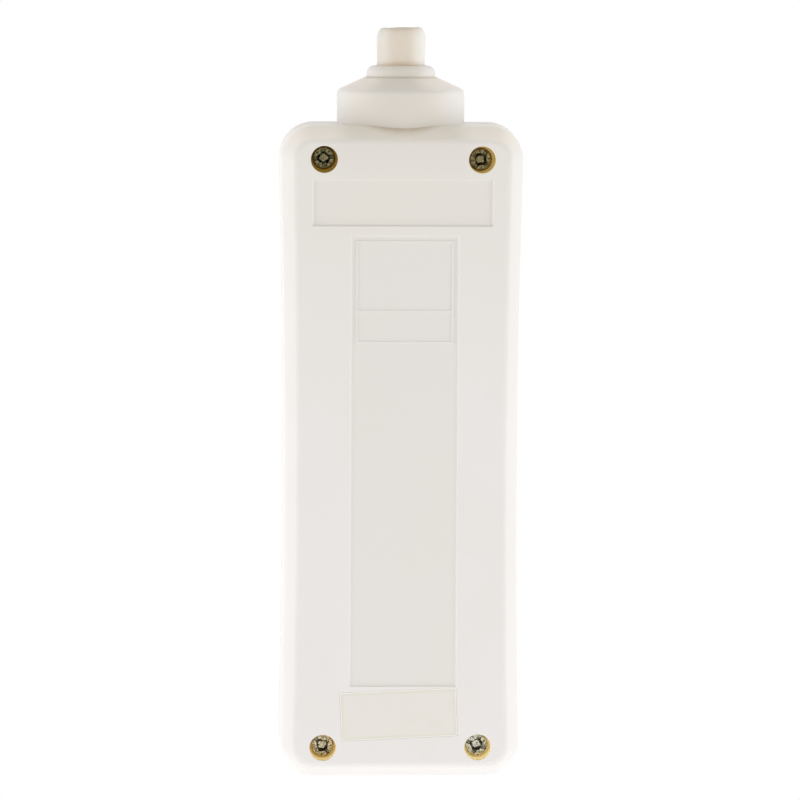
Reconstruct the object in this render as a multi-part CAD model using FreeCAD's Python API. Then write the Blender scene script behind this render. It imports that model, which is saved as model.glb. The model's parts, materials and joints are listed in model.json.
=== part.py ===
import FreeCAD, Part
import math
import os

from FreeCAD import Vector

# A rewireable block of three earthed sockets, lying on its underside.
# Lengths are in millimetres. X runs along the block to the cable neck, Y across it and Z up.
# The sizes below count X from the middle of the case. The finished pieces are moved so that the origin
# lies under the middle of the whole length, neck and sleeve included.

# Case, both shells
BODY_LENGTH = 153.3
END_WIDTH = 57.1
SIDE_HOLLOW = 1.05
COVER_SIDE_ARCS = 8
HOUSING_SIDE_ARCS = 1
BODY_HEIGHT = 40.0
SPLIT_HEIGHT = 18.0
CORNER_RADIUS = 8.0
WALL = 2.3
COVER_FLOOR = 2.2
HOUSING_ROOF = 2.4
COVER_DRAFT = 0.7
HOUSING_DRAFT = 0.9
UNDERSIDE_ROUND = 6.4
UNDERSIDE_TRIM = 0.75
UNDERSIDE_EDGE = 2.4
TOP_ROUND = 3.5
INNER_ROUND = 2.0
SEAM_GAP = 0.12
TONGUE_WIDTH = 1.0
TONGUE_DEPTH = 1.5
TONGUE_GAP = 0.15

# Neck round the cable, half of it on each shell, measured from the end of the case
COLLAR_RADIUS = 14.9
COLLAR_LENGTH = 7.4
COLLAR_ROUND = 1.2
CONE_LENGTH = 3.0
CONE_TIP_RADIUS = 8.35
RING_RADIUS = 8.05
RING_LENGTH = 2.7
RING_ROUND = 1.9
NECK_WALL = 2.4
NECK_WEB = 1.6

# Soft sleeve that lines the neck
SLEEVE_RADIUS = 5.65
SLEEVE_ROOT_RADIUS = 5.45
SLEEVE_REACH = 8.9
SLEEVE_BORE = 4.3
SLEEVE_ROUND = 1.4
SLEEVE_TAIL = 3.6
FLANGE_RADIUS = 8.6
FLANGE_WIDTH = 2.2
FLANGE_PLACE = 0.75
SLEEVE_GAP = 0.2

# Underside panels and the label's pocket, X of the middle, Y of the middle, length and width
MARK_PANEL_DEPTH = 0.3
LONG_PANEL_DEPTH = 0.2
MARK_PANEL_X = 58.65
MARK_PANEL_LENGTH = 10.7
MARK_PANEL_WIDTH = 41.6
LONG_PANEL_X = -1.5
LONG_PANEL_Y = 0.5
LONG_PANEL_LENGTH = 105.2
LONG_PANEL_WIDTH = 24.9
FIELD_X = 38.1
FIELD_LENGTH = 23.7
FIELD_WIDTH = 22.5
FIELD_SHARE_LENGTH = 7.2
FIELD_LINE = 0.45
FIELD_RISE = 0.12
LABEL_X = -60.7
LABEL_Y = -0.4
LABEL_LENGTH = 11.3
LABEL_WIDTH = 27.0
LABEL_TURN = -2.5
LABEL_THICKNESS = 0.1
LABEL_SINK = 0.02
LABEL_GAP = 0.12

# Screws that close the case
CASE_SCREW_X = 68.6
CASE_SCREW_Y = 18.12
COUNTERBORE_RADIUS = 3.1
COUNTERBORE_DEPTH = 5.6
CASE_BOSS_RADIUS = 5.0
CASE_BOSS_HEIGHT = 12.0
CASE_HEAD_RADIUS = 2.62
CASE_HEAD_HEIGHT = 2.2
CASE_SCREW_LENGTH = 18.0

# Small screws and the bosses that they cut into
SHANK_RADIUS = 1.45
PILOT_GAP = 0.05
PASS_GAP = 0.3
PILOT_SPARE = 2.0
POST_RADIUS = 3.5
SMALL_HEAD_RADIUS = 2.6
SMALL_HEAD_HEIGHT = 2.0
RECESS_REACH = 1.75
RECESS_WIDTH = 0.75
RECESS_DEPTH = 1.1
RECESS_MOUTH = 1.35
RECESS_FLOOR = 0.95
RECESS_TURN_X = 7.0
RECESS_TURN_Y = 11.0
HEAD_ROUND_SHARE = 0.45
TIP_SHARE = 0.3

# Sockets
SOCKET_COUNT = 3
SOCKET_PITCH = 42.5
FIRST_SOCKET_X = -51.5
WELL_RADIUS = 19.7
WELL_DEPTH = 15.5
WELL_WALL = 1.8
WELL_FLOOR = 2.0
RIM_CHAMFER = 0.8
CONTACT_SPACING = 19.0
CONTACT_HOLE_RADIUS = 2.6
HOLE_CHAMFER = 0.5
EARTH_PIN_OFFSET = 10.0
EARTH_PIN_RADIUS = 2.4
EARTH_PIN_RISE = 14.0
EARTH_PIN_TIP = 1.2
EARTH_SHANK_RADIUS = 2.9
EARTH_SHANK_GAP = 0.2
EARTH_COLLAR_RADIUS = 3.7
RIVET_RADIUS = 1.3
RIVET_HEAD_RADIUS = 1.95
RIVET_HEAD_HEIGHT = 0.7

# Shutters under the socket floors, each pushed closed by a spring
SHUTTER_THICKNESS = 1.9
SLIDE_GAP = 0.3
SHUTTER_TRAVEL = 6.2
SHUTTER_ARM_LENGTH = 6.4
SHUTTER_ARM_WIDTH = 7.0
SHUTTER_WEB_LENGTH = 4.0
RAMP_DROP = 1.4
RAMP_START = 0.8
RAIL_WIDTH = 1.0
STOP_LENGTH = 1.2
SPRING_ROOM = 12.8
SPRING_RADIUS = 0.88
SPRING_WIRE_RADIUS = 0.16
SPRING_TURNS = 14
SPRING_GAP = 0.12
SPRING_SEAT_LENGTH = 1.6
SPRING_SEAT_WIDTH = 4.0
PEG_RADIUS = 0.5
PEG_LENGTH = 3.0

# Inner carrier
CARRIER_PLATE = 2.2
CARRIER_HALF_WIDTH = 16.0
CARRIER_TAIL = 11.5
CARRIER_RIB = 1.2
CARRIER_SIDE_GAP = 0.3
EAR_LENGTH = 7.0
EAR_REACH = 3.4
CARRIER_SCREW_Y = 18.0
CARRIER_SCREW_LENGTH = 9.0
WINDOW_RADIUS = 3.5
LAST_RIB_SETBACK = 3.6

# Contact bars, bent from strip
STRIP = 0.8
FIT_GAP = 0.1
BAR_SEAT_HEIGHT = 2.2
BAR_WIDTH = 7.0
BAR_TAIL = 6.5
EARTH_BAR_WIDTH = 8.8
LEAF_WIDTH = 6.0
LEAF_FOOT = 4.7
LEAF_PINCH = 2.6
LEAF_MOUTH = 4.1
LEAF_THICKNESS = 0.7
LEAF_HEAD_ROOM = 1.0
LEAF_BEND_SHARE = 0.25
LEAF_PINCH_SHARE = 0.7
TAB_WIDTH = 4.2
RISER_STANDOFF = 2.4

# Terminals for the three wires
TERMINAL_X = 61.0
TERMINAL_LENGTH = 8.0
TERMINAL_WIDTH = 6.8
TERMINAL_HEIGHT = 8.0
TERMINAL_LIFT = 1.9
WIRE_WAY_WIDTH = 4.6
WIRE_WAY_HEIGHT = 4.4
TERMINAL_FLOOR = 2.2
TERMINAL_SCREW_RADIUS = 1.5
TERMINAL_HEAD_RADIUS = 2.6
TERMINAL_HEAD_HEIGHT = 2.2
TERMINAL_SLOT = 0.8
TERMINAL_STANDOFF = 0.3

# Clamp across the cable, held by two screws
CLAMP_END_GAP = 0.45
CLAMP_SPACING = 18.0
CLAMP_LENGTH = 7.4
CLAMP_WIDTH = 25.0
CLAMP_THICKNESS = 2.9
CLAMP_ROUND = 1.5
CLAMP_PAD_WIDTH = 9.0
CLAMP_PAD_HEIGHT = 1.7
CLAMP_SCREW_LENGTH = 11.0
SADDLE_WIDTH = 10.0
SADDLE_LENGTH = 6.0
CABLE_RADIUS = 4.25
CABLE_GAP = 0.2

# How far a cutting shape reaches past the face that it opens
OVERCUT = 1.0

# Levels and places that follow from the sizes above
HALF_LENGTH = BODY_LENGTH / 2
CLAMP_X = HALF_LENGTH - WALL - CLAMP_END_GAP - CLAMP_LENGTH / 2
HALF_MIDDLE = END_WIDTH / 2 - SIDE_HOLLOW
SIDE_RADIUS = HALF_LENGTH ** 2 / (2 * SIDE_HOLLOW) + SIDE_HOLLOW / 2
SIDE_CENTRE = HALF_MIDDLE + SIDE_RADIUS
CORNER_X = HALF_LENGTH - CORNER_RADIUS
CORNER_Y = SIDE_CENTRE - math.sqrt((SIDE_RADIUS + CORNER_RADIUS) ** 2 - CORNER_X ** 2)
COVER_TOP = SPLIT_HEIGHT - SEAM_GAP
COLLAR_END = HALF_LENGTH + COLLAR_LENGTH
CONE_END = COLLAR_END + CONE_LENGTH
RING_END = CONE_END + RING_LENGTH
SLEEVE_END = RING_END + SLEEVE_REACH
FLANGE_FRONT = COLLAR_END + FLANGE_PLACE
FLANGE_BACK = FLANGE_FRONT - FLANGE_WIDTH - 2 * FIT_GAP
WEB_BACK = FLANGE_BACK - NECK_WEB
SLEEVE_START = FLANGE_BACK - SLEEVE_TAIL
SLEEVE_HOLE = SLEEVE_RADIUS + SLEEVE_GAP
WELL_TOP = BODY_HEIGHT - WELL_DEPTH
WELL_UNDER = WELL_TOP - WELL_FLOOR
SHUTTER_TOP = WELL_UNDER - SLIDE_GAP
SHUTTER_BOTTOM = SHUTTER_TOP - SHUTTER_THICKNESS
PLATE_TOP = SHUTTER_BOTTOM - SLIDE_GAP
PLATE_BOTTOM = PLATE_TOP - CARRIER_PLATE
GROOVE_BOTTOM = PLATE_TOP - STRIP - 2 * FIT_GAP
EARTH_BAR_BOTTOM = GROOVE_BOTTOM + FIT_GAP
EARTH_BAR_TOP = EARTH_BAR_BOTTOM + STRIP
SEAT_TOP = COVER_FLOOR + BAR_SEAT_HEIGHT
BAR_BOTTOM = SEAT_TOP + FIT_GAP
BAR_TOP = BAR_BOTTOM + STRIP
CONTACT_Y = CONTACT_SPACING / 2
SOCKETS = [FIRST_SOCKET_X + SOCKET_PITCH * i for i in range(SOCKET_COUNT)]
BAR_START = SOCKETS[0] - BAR_TAIL
TERMINAL_START = TERMINAL_X - TERMINAL_LENGTH / 2
TERMINAL_STOP = TERMINAL_X + TERMINAL_LENGTH / 2
TERMINAL_BOTTOM = BAR_BOTTOM + TERMINAL_LIFT
TERMINAL_TOP = TERMINAL_BOTTOM + TERMINAL_HEIGHT
WIRE_WAY_BOTTOM = TERMINAL_BOTTOM + TERMINAL_FLOOR
WIRE_WAY_TOP = WIRE_WAY_BOTTOM + WIRE_WAY_HEIGHT
TAB_TOP = WIRE_WAY_TOP - FIT_GAP
TAB_BOTTOM = TAB_TOP - STRIP
RISER_X = TERMINAL_START - RISER_STANDOFF
CARRIER_START = SOCKETS[0] - CARRIER_TAIL
CARRIER_END = TERMINAL_STOP + CARRIER_SIDE_GAP
LANE_END = CASE_SCREW_X - CASE_BOSS_RADIUS - CARRIER_SIDE_GAP
PILOT_RADIUS = SHANK_RADIUS + PILOT_GAP
PASS_RADIUS = SHANK_RADIUS + PASS_GAP
CARRIER_SCREWS_X = [(SOCKETS[i] + SOCKETS[i + 1]) / 2 for i in range(SOCKET_COUNT - 1)]
CLAMP_Y = CLAMP_SPACING / 2
CLAMP_TOP = SPLIT_HEIGHT - CABLE_RADIUS - CLAMP_PAD_HEIGHT
CLAMP_BOTTOM = CLAMP_TOP - CLAMP_THICKNESS
ORIGIN_SHIFT = Vector(-(SLEEVE_END - HALF_LENGTH) / 2, 0, 0)

ALONG = Vector(1, 0, 0)
UP = Vector(0, 0, 1)


def block(x0, x1, y0, y1, z0, z1):
    """A box between two corners."""
    return Part.makeBox(x1 - x0, y1 - y0, z1 - z0, Vector(x0, y0, z0))


def post(x, y, z0, z1, radius):
    """An upright cylinder."""
    return Part.makeCylinder(radius, z1 - z0, Vector(x, y, z0), UP)


def rod(x0, x1, radius):
    """A cylinder along the cable's axis."""
    return Part.makeCylinder(radius, x1 - x0, Vector(x0, 0, SPLIT_HEIGHT), ALONG)


def joined(shapes):
    """All the shapes as one solid, with the lines between merged faces removed."""
    return shapes[0].fuse(shapes[1:]).removeSplitter()


def without(shape, tools):
    """The shape with every tool cut out of it."""
    return shape.cut(Part.makeCompound(tools))


def rounded(shape, radius, wanted):
    """The shape with a fillet on each edge that the test picks."""
    return shape.makeFillet(radius, [edge for edge in shape.Edges if wanted(edge)])


def at_level(z):
    """A test for edges that lie at one height."""
    return lambda edge: edge.BoundBox.ZMax - edge.BoundBox.ZMin < 1e-4 and abs(edge.BoundBox.ZMin - z) < 1e-4


def at_station(x, radius):
    """A test for circular edges round the cable's axis at one X."""
    return lambda edge: (
        edge.BoundBox.XMax - edge.BoundBox.XMin < 1e-4
        and abs(edge.BoundBox.XMin - x) < 1e-4
        and abs(edge.BoundBox.YLength - 2 * radius) < 1e-3
    )


def save(name, shape):
    """Move a piece to the shared origin and write it under its name."""
    shape = shape.copy()
    shape.translate(ORIGIN_SHIFT)
    shape.exportStep("parts/" + name + ".step")


def case_outline(inset, z, arcs):
    """The case seen from above: straight ends, round corners and hollow long sides, drawn in by an inset.

    Each long side is a row of arcs on one circle. Where an edge along it is rounded widely, short arcs keep
    meshes close to it.
    """
    radius = CORNER_RADIUS - inset
    reach = SIDE_RADIUS + CORNER_RADIUS
    to_side = Vector(-CORNER_X / reach, (SIDE_CENTRE - CORNER_Y) / reach, 0)
    half_way = (ALONG + to_side).normalize()
    end = Vector(CORNER_X + radius, CORNER_Y, z)
    bend = Vector(CORNER_X, CORNER_Y, z) + half_way * radius
    side = Vector(CORNER_X, CORNER_Y, z) + to_side * radius
    middle = Vector(0, HALF_MIDDLE - inset, z)

    def mirrored(point, sx, sy):
        return Vector(point.x * sx, point.y * sy, z)

    def corner(sx, sy):
        return Part.Arc(mirrored(end, sx, sy), mirrored(bend, sx, sy), mirrored(side, sx, sy)).toShape()

    def long_side(sy):
        whole = Part.Arc(mirrored(side, 1, sy), mirrored(middle, 1, sy), mirrored(side, -1, sy))
        start = whole.FirstParameter
        step = (whole.LastParameter - start) / arcs
        return [whole.toShape(start + step * i, start + step * (i + 1)) for i in range(arcs)]

    def short_end(sx):
        return Part.makeLine(mirrored(end, sx, -1), mirrored(end, sx, 1))

    edges = [short_end(1), corner(1, 1)] + long_side(1) + [corner(-1, 1)]
    edges += [short_end(-1), corner(-1, -1)] + long_side(-1)[::-1] + [corner(1, -1)]
    return Part.Wire(edges)


def case_block(low_inset, low_z, high_inset, high_z, arcs):
    """A solid of the case's outline, tapering between two levels."""
    low = case_outline(low_inset, low_z, arcs)
    high = case_outline(high_inset, high_z, arcs)
    return Part.makeLoft([low, high], True, True)


def case_band(outer_inset, inner_inset, z0, z1, arcs):
    """An upright wall that follows the case's outline all the way round."""
    rise = Vector(0, 0, z1 - z0)
    outer = Part.Face(case_outline(outer_inset, z0, arcs)).extrude(rise)
    inner = Part.Face(case_outline(inner_inset, z0, arcs)).extrude(rise)
    return outer.cut(inner)


def neck_gate(gap):
    """The stretch of the end wall that the neck takes up."""
    half = COLLAR_RADIUS + gap
    return block(CORNER_X, HALF_LENGTH, -half, half, 0, BODY_HEIGHT)


def neck_outside():
    """Collar, cone and end ring of the neck, whole and solid."""
    start = HALF_LENGTH - CORNER_RADIUS
    collar = rod(start, COLLAR_END, COLLAR_RADIUS)
    place = Vector(COLLAR_END, 0, SPLIT_HEIGHT)
    cone = Part.makeCone(COLLAR_RADIUS, CONE_TIP_RADIUS, CONE_LENGTH, place, ALONG)
    ring = rod(CONE_END, RING_END, RING_RADIUS)
    neck = joined([collar, cone, ring])
    neck = rounded(neck, COLLAR_ROUND, at_station(COLLAR_END, COLLAR_RADIUS))
    return rounded(neck, RING_ROUND, at_station(RING_END, RING_RADIUS))


def neck_inside():
    """The neck's hollow: a wide throat, a web, a groove for the sleeve's flange and the sleeve's hole."""
    throat = rod(HALF_LENGTH - WALL - FIT_GAP, WEB_BACK, COLLAR_RADIUS - NECK_WALL)
    hole = rod(WEB_BACK - OVERCUT, RING_END + OVERCUT, SLEEVE_HOLE)
    groove = rod(FLANGE_BACK, FLANGE_FRONT, FLANGE_RADIUS + SLEEVE_GAP)
    return [throat, hole, groove]


def below(z):
    """Everything under one level."""
    return block(-SLEEVE_END, SLEEVE_END, -END_WIDTH, END_WIDTH, -CORNER_RADIUS, z)


def above(z):
    """Everything over one level."""
    return block(-SLEEVE_END, SLEEVE_END, -END_WIDTH, END_WIDTH, z, BODY_HEIGHT + CORNER_RADIUS)


def case_screw_places():
    """The four screws that close the case."""
    return [(sx * CASE_SCREW_X, sy * CASE_SCREW_Y) for sx in (-1, 1) for sy in (-1, 1)]


def carrier_screw_places():
    """The screws that hold the carrier, between the sockets."""
    return [(x, sy * CARRIER_SCREW_Y) for x in CARRIER_SCREWS_X for sy in (-1, 1)]


def clamp_screw_places():
    """The two screws of the cable clamp."""
    return [(CLAMP_X, sy * CLAMP_Y) for sy in (-1, 1)]


def cross_screw(x, y, z, head_radius, head_height, length):
    """A pan head screw driven upwards, with the underside of its head at z and a cross recess."""
    head = post(x, y, z - head_height, z, head_radius)
    head = rounded(head, head_height * HEAD_ROUND_SHARE, at_level(z - head_height))
    shank = post(x, y, z, z + length - SHANK_RADIUS, SHANK_RADIUS)
    tip_place = Vector(x, y, z + length - SHANK_RADIUS)
    tip = Part.makeCone(SHANK_RADIUS, SHANK_RADIUS * TIP_SHARE, SHANK_RADIUS, tip_place, UP)
    low = z - head_height - OVERCUT
    high = z - head_height + RECESS_DEPTH
    half = RECESS_WIDTH / 2
    slots = [
        block(x - RECESS_REACH, x + RECESS_REACH, y - half, y + half, low, high),
        block(x - half, x + half, y - RECESS_REACH, y + RECESS_REACH, low, high),
        Part.makeCone(RECESS_MOUTH, RECESS_FLOOR, RECESS_DEPTH, Vector(x, y, high - RECESS_DEPTH), UP),
    ]
    turned = Part.makeCompound(slots)
    turned.rotate(Vector(x, y, 0), UP, RECESS_TURN_X * x + RECESS_TURN_Y * y)
    return joined([head, shank, tip]).cut(turned)


def slotted_screw(x, y, z, length):
    """A terminal screw driven upwards, with the underside of its head at z."""
    head = post(x, y, z - TERMINAL_HEAD_HEIGHT, z, TERMINAL_HEAD_RADIUS)
    shank = post(x, y, z, z + length, TERMINAL_SCREW_RADIUS)
    half = TERMINAL_SLOT / 2
    reach = TERMINAL_HEAD_RADIUS + OVERCUT
    low = z - TERMINAL_HEAD_HEIGHT
    slot = block(x - reach, x + reach, y - half, y + half, low - OVERCUT, low + TERMINAL_HEAD_HEIGHT / 2)
    return joined([head, shank]).cut(slot)


def label_plate(grow, z0, z1):
    """The label's rectangle, turned as it was stuck on."""
    half_x = LABEL_LENGTH / 2 + grow
    half_y = LABEL_WIDTH / 2 + grow
    plate = block(LABEL_X - half_x, LABEL_X + half_x, LABEL_Y - half_y, LABEL_Y + half_y, z0, z1)
    plate.rotate(Vector(LABEL_X, LABEL_Y, 0), UP, LABEL_TURN)
    return plate


def rating_label():
    """The bare paper label in its pocket."""
    return label_plate(0, LABEL_SINK, LABEL_SINK + LABEL_THICKNESS)


def panel(x, y, length, width, z0, z1):
    """A flat rectangle on the underside, given by its middle."""
    return block(x - length / 2, x + length / 2, y - width / 2, y + width / 2, z0, z1)


def field_frame():
    """The raised outline of the two-part field, in the long panel."""
    top = LONG_PANEL_DEPTH + FIT_GAP
    low = LONG_PANEL_DEPTH - FIELD_RISE
    whole = panel(FIELD_X, LONG_PANEL_Y, FIELD_LENGTH, FIELD_WIDTH, low, top)
    inner_width = FIELD_WIDTH - 2 * FIELD_LINE
    far = FIELD_X + FIELD_LENGTH / 2 - FIELD_LINE
    near = FIELD_X - FIELD_LENGTH / 2 + FIELD_LINE
    divide = near + FIELD_SHARE_LENGTH - FIELD_LINE
    y0 = LONG_PANEL_Y - inner_width / 2
    y1 = LONG_PANEL_Y + inner_width / 2
    high = top + OVERCUT
    windows = [block(near, divide, y0, y1, 0, high), block(divide + FIELD_LINE, far, y0, y1, 0, high)]
    return without(whole, windows)


def bar_seats():
    """Ribs on the cover's floor that hold the two live bars against the carrier."""
    half = BAR_WIDTH / 2 - CARRIER_SIDE_GAP
    seats = []
    for x in [BAR_START + CARRIER_RIB] + CARRIER_SCREWS_X + [SOCKETS[-1] + BAR_TAIL + LEAF_FOOT]:
        for sy in (-1, 1):
            y = sy * CONTACT_Y
            seat = block(x - CARRIER_RIB, x + CARRIER_RIB, y - half, y + half, COVER_FLOOR / 2, SEAT_TOP)
            seats.append(seat)
    return seats


def rear_cover():
    """The lower shell: flat underside, sloping edges, screw bosses and half of the neck."""
    arcs = COVER_SIDE_ARCS
    outer = case_block(COVER_DRAFT, -UNDERSIDE_TRIM, 0, SPLIT_HEIGHT, arcs)
    outer = rounded(outer, UNDERSIDE_ROUND, at_level(-UNDERSIDE_TRIM))
    outer = rounded(outer.cut(below(0)), UNDERSIDE_EDGE, at_level(0))
    outer = joined([outer, neck_outside()]).cut(above(COVER_TOP))
    inner = case_block(COVER_DRAFT + WALL, COVER_FLOOR, WALL, SPLIT_HEIGHT, arcs)
    inner = rounded(inner, INNER_ROUND, at_level(COVER_FLOOR))
    rebate_inset = WALL - TONGUE_WIDTH - TONGUE_GAP
    rebate = case_band(rebate_inset, 2 * WALL, COVER_TOP - TONGUE_DEPTH, SPLIT_HEIGHT, arcs)
    rebate = rebate.cut(neck_gate(0))
    shell = without(outer, [inner, rebate] + neck_inside())
    bosses = []
    for x, y in case_screw_places():
        bosses.append(post(x, y, COVER_FLOOR / 2, CASE_BOSS_HEIGHT, CASE_BOSS_RADIUS))
    cover = joined([shell] + bosses + bar_seats())
    recess = panel(LONG_PANEL_X, LONG_PANEL_Y, LONG_PANEL_LENGTH, LONG_PANEL_WIDTH, -OVERCUT, LONG_PANEL_DEPTH)
    cuts = [
        panel(MARK_PANEL_X, 0, MARK_PANEL_LENGTH, MARK_PANEL_WIDTH, -OVERCUT, MARK_PANEL_DEPTH),
        recess.cut(field_frame()),
        label_plate(LABEL_GAP, -OVERCUT, LABEL_SINK + LABEL_THICKNESS),
    ]
    for x, y in case_screw_places():
        cuts.append(post(x, y, -OVERCUT, COUNTERBORE_DEPTH, COUNTERBORE_RADIUS))
        cuts.append(post(x, y, 0, CASE_BOSS_HEIGHT + OVERCUT, PASS_RADIUS))
    return without(cover, cuts)


def socket_housing():
    """The upper shell with the socket wells, their floors, the inner posts and half of the neck."""
    arcs = HOUSING_SIDE_ARCS
    outer = case_block(0, SPLIT_HEIGHT, HOUSING_DRAFT, BODY_HEIGHT, arcs)
    outer = rounded(outer, TOP_ROUND, at_level(BODY_HEIGHT))
    outer = joined([outer, neck_outside()]).cut(below(SPLIT_HEIGHT))
    roof = BODY_HEIGHT - HOUSING_ROOF
    inner = case_block(WALL, SPLIT_HEIGHT, HOUSING_DRAFT + WALL, roof, arcs)
    inner = rounded(inner, INNER_ROUND, at_level(roof))
    shell = without(outer, [inner] + neck_inside())
    tongue_end = SPLIT_HEIGHT + TONGUE_DEPTH
    tongue = case_band(WALL - TONGUE_WIDTH, WALL, SPLIT_HEIGHT - TONGUE_DEPTH, tongue_end, arcs)
    tongue = tongue.cut(neck_gate(TONGUE_GAP))
    into_roof = BODY_HEIGHT - HOUSING_ROOF / 2
    pieces = [shell, tongue]
    pieces += [post(x, 0, WELL_UNDER, into_roof, WELL_RADIUS + WELL_WALL) for x in SOCKETS]
    pieces += [post(x, y, CASE_BOSS_HEIGHT, into_roof, POST_RADIUS) for x, y in case_screw_places()]
    pieces += [post(x, y, PLATE_TOP, into_roof, POST_RADIUS) for x, y in carrier_screw_places()]
    pieces += [post(x, y, CLAMP_TOP, into_roof, POST_RADIUS) for x, y in clamp_screw_places()]
    half = SADDLE_WIDTH / 2
    saddle_x = CLAMP_X - SADDLE_LENGTH / 2
    saddle_end = saddle_x + SADDLE_LENGTH
    pieces.append(block(saddle_x, saddle_end, -half, half, SPLIT_HEIGHT + CABLE_RADIUS / 2, into_roof))
    for x in SOCKETS:
        seat_x = x - SHUTTER_ARM_LENGTH / 2 - SPRING_ROOM
        half = SPRING_SEAT_WIDTH / 2
        seat_start = seat_x - SPRING_SEAT_LENGTH
        pieces.append(block(seat_start, seat_x, -half, half, PLATE_TOP + SLIDE_GAP, WELL_TOP))
    housing = joined(pieces)
    floor_low = WELL_UNDER - OVERCUT
    floor_high = WELL_TOP + OVERCUT
    lip_radius = CONTACT_HOLE_RADIUS + HOLE_CHAMFER
    shank_hole = EARTH_SHANK_RADIUS + EARTH_SHANK_GAP
    cuts = [rod(saddle_x - OVERCUT, saddle_end + OVERCUT, CABLE_RADIUS + CABLE_GAP)]
    for x in SOCKETS:
        cuts.append(post(x, 0, WELL_TOP, BODY_HEIGHT + OVERCUT, WELL_RADIUS))
        rim = Vector(x, 0, BODY_HEIGHT - RIM_CHAMFER)
        cuts.append(Part.makeCone(WELL_RADIUS, WELL_RADIUS + RIM_CHAMFER, RIM_CHAMFER, rim, UP))
        cuts.append(post(x + EARTH_PIN_OFFSET, 0, floor_low, floor_high, shank_hole))
        for sy in (-1, 1):
            y = sy * CONTACT_Y
            cuts.append(post(x, y, floor_low, floor_high, CONTACT_HOLE_RADIUS))
            lip = Vector(x, y, WELL_TOP - HOLE_CHAMFER)
            cuts.append(Part.makeCone(CONTACT_HOLE_RADIUS, lip_radius, HOLE_CHAMFER, lip, UP))
    case_pilot_end = COUNTERBORE_DEPTH + CASE_SCREW_LENGTH + PILOT_SPARE
    carrier_pilot_end = PLATE_BOTTOM + CARRIER_SCREW_LENGTH + PILOT_SPARE
    clamp_pilot_end = CLAMP_BOTTOM + CLAMP_SCREW_LENGTH + PILOT_SPARE
    cuts += [post(x, y, 0, case_pilot_end, PILOT_RADIUS) for x, y in case_screw_places()]
    cuts += [post(x, y, 0, carrier_pilot_end, PILOT_RADIUS) for x, y in carrier_screw_places()]
    cuts += [post(x, y, 0, clamp_pilot_end, PILOT_RADIUS) for x, y in clamp_screw_places()]
    return without(housing, cuts)


def carrier_lane_walls(y):
    """Two long walls that keep a live bar and its terminal in their lane, with cross ribs over the bar."""
    inner = BAR_WIDTH / 2 + CARRIER_SIDE_GAP
    outer = inner + CARRIER_RIB
    walls = []
    for sy in (-1, 1):
        low, high = sorted((y + sy * inner, y + sy * outer))
        walls.append(block(BAR_START - CARRIER_RIB, LANE_END, low, high, BAR_BOTTOM, PLATE_BOTTOM + FIT_GAP))
    top = PLATE_BOTTOM + FIT_GAP
    for x in [BAR_START] + CARRIER_SCREWS_X + [RISER_X - LAST_RIB_SETBACK]:
        walls.append(block(x, x + CARRIER_RIB, y - outer, y + outer, BAR_TOP + FIT_GAP, top))
    return walls


def shutter_rails(x):
    """Side rails and end stops that guide one shutter on the carrier's plate."""
    inner = CONTACT_Y + SHUTTER_ARM_WIDTH / 2 + SLIDE_GAP
    front = x + SHUTTER_ARM_LENGTH / 2 + SLIDE_GAP
    back = x - SHUTTER_ARM_LENGTH / 2 - SHUTTER_TRAVEL - SLIDE_GAP
    rails = []
    for sy in (-1, 1):
        low, high = sorted((sy * inner, sy * (inner + RAIL_WIDTH)))
        rails.append(block(back, front + STOP_LENGTH, low, high, PLATE_BOTTOM, SHUTTER_TOP))
        low, high = sorted((sy * CONTACT_Y, sy * (inner + RAIL_WIDTH)))
        rails.append(block(front, front + STOP_LENGTH, low, high, PLATE_BOTTOM, SHUTTER_TOP))
    return rails


def contact_carrier():
    """The inner frame: a plate under the shutters with walls that hold the bars and the terminals."""
    end_half = CONTACT_Y + BAR_WIDTH / 2 + CARRIER_SIDE_GAP + CARRIER_RIB
    wide = CARRIER_HALF_WIDTH
    pieces = [
        block(CARRIER_START, TERMINAL_START, -wide, wide, PLATE_BOTTOM, PLATE_TOP),
        block(TERMINAL_START - OVERCUT, CARRIER_END, -end_half, end_half, TERMINAL_TOP + FIT_GAP, PLATE_TOP),
    ]
    ear = CARRIER_SCREW_Y + EAR_REACH
    for x in CARRIER_SCREWS_X:
        pieces.append(block(x - EAR_LENGTH / 2, x + EAR_LENGTH / 2, -ear, ear, PLATE_BOTTOM, PLATE_TOP))
    for sy in (-1, 1):
        pieces += carrier_lane_walls(sy * CONTACT_Y)
    for x in SOCKETS:
        pieces += shutter_rails(x)
    carrier = joined(pieces)
    half = EARTH_BAR_WIDTH / 2 + FIT_GAP
    groove_start = SOCKETS[0] + EARTH_PIN_OFFSET - EARTH_BAR_WIDTH / 2 - FIT_GAP
    groove_end = RISER_X + STRIP + CARRIER_SIDE_GAP
    low = PLATE_BOTTOM - OVERCUT
    high = PLATE_TOP + OVERCUT
    cuts = [
        block(groove_start, groove_end, -half, half, GROOVE_BOTTOM, high),
        block(RISER_X - CARRIER_SIDE_GAP, groove_end, -half, half, 0, high),
    ]
    for x in SOCKETS:
        cuts.append(post(x + EARTH_PIN_OFFSET, 0, 0, PLATE_TOP, RIVET_HEAD_RADIUS + CARRIER_SIDE_GAP))
        cuts += [post(x, sy * CONTACT_Y, low, high, WINDOW_RADIUS) for sy in (-1, 1)]
    cuts += [post(x, y, low, high, PASS_RADIUS) for x, y in carrier_screw_places()]
    return without(carrier, cuts)


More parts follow.
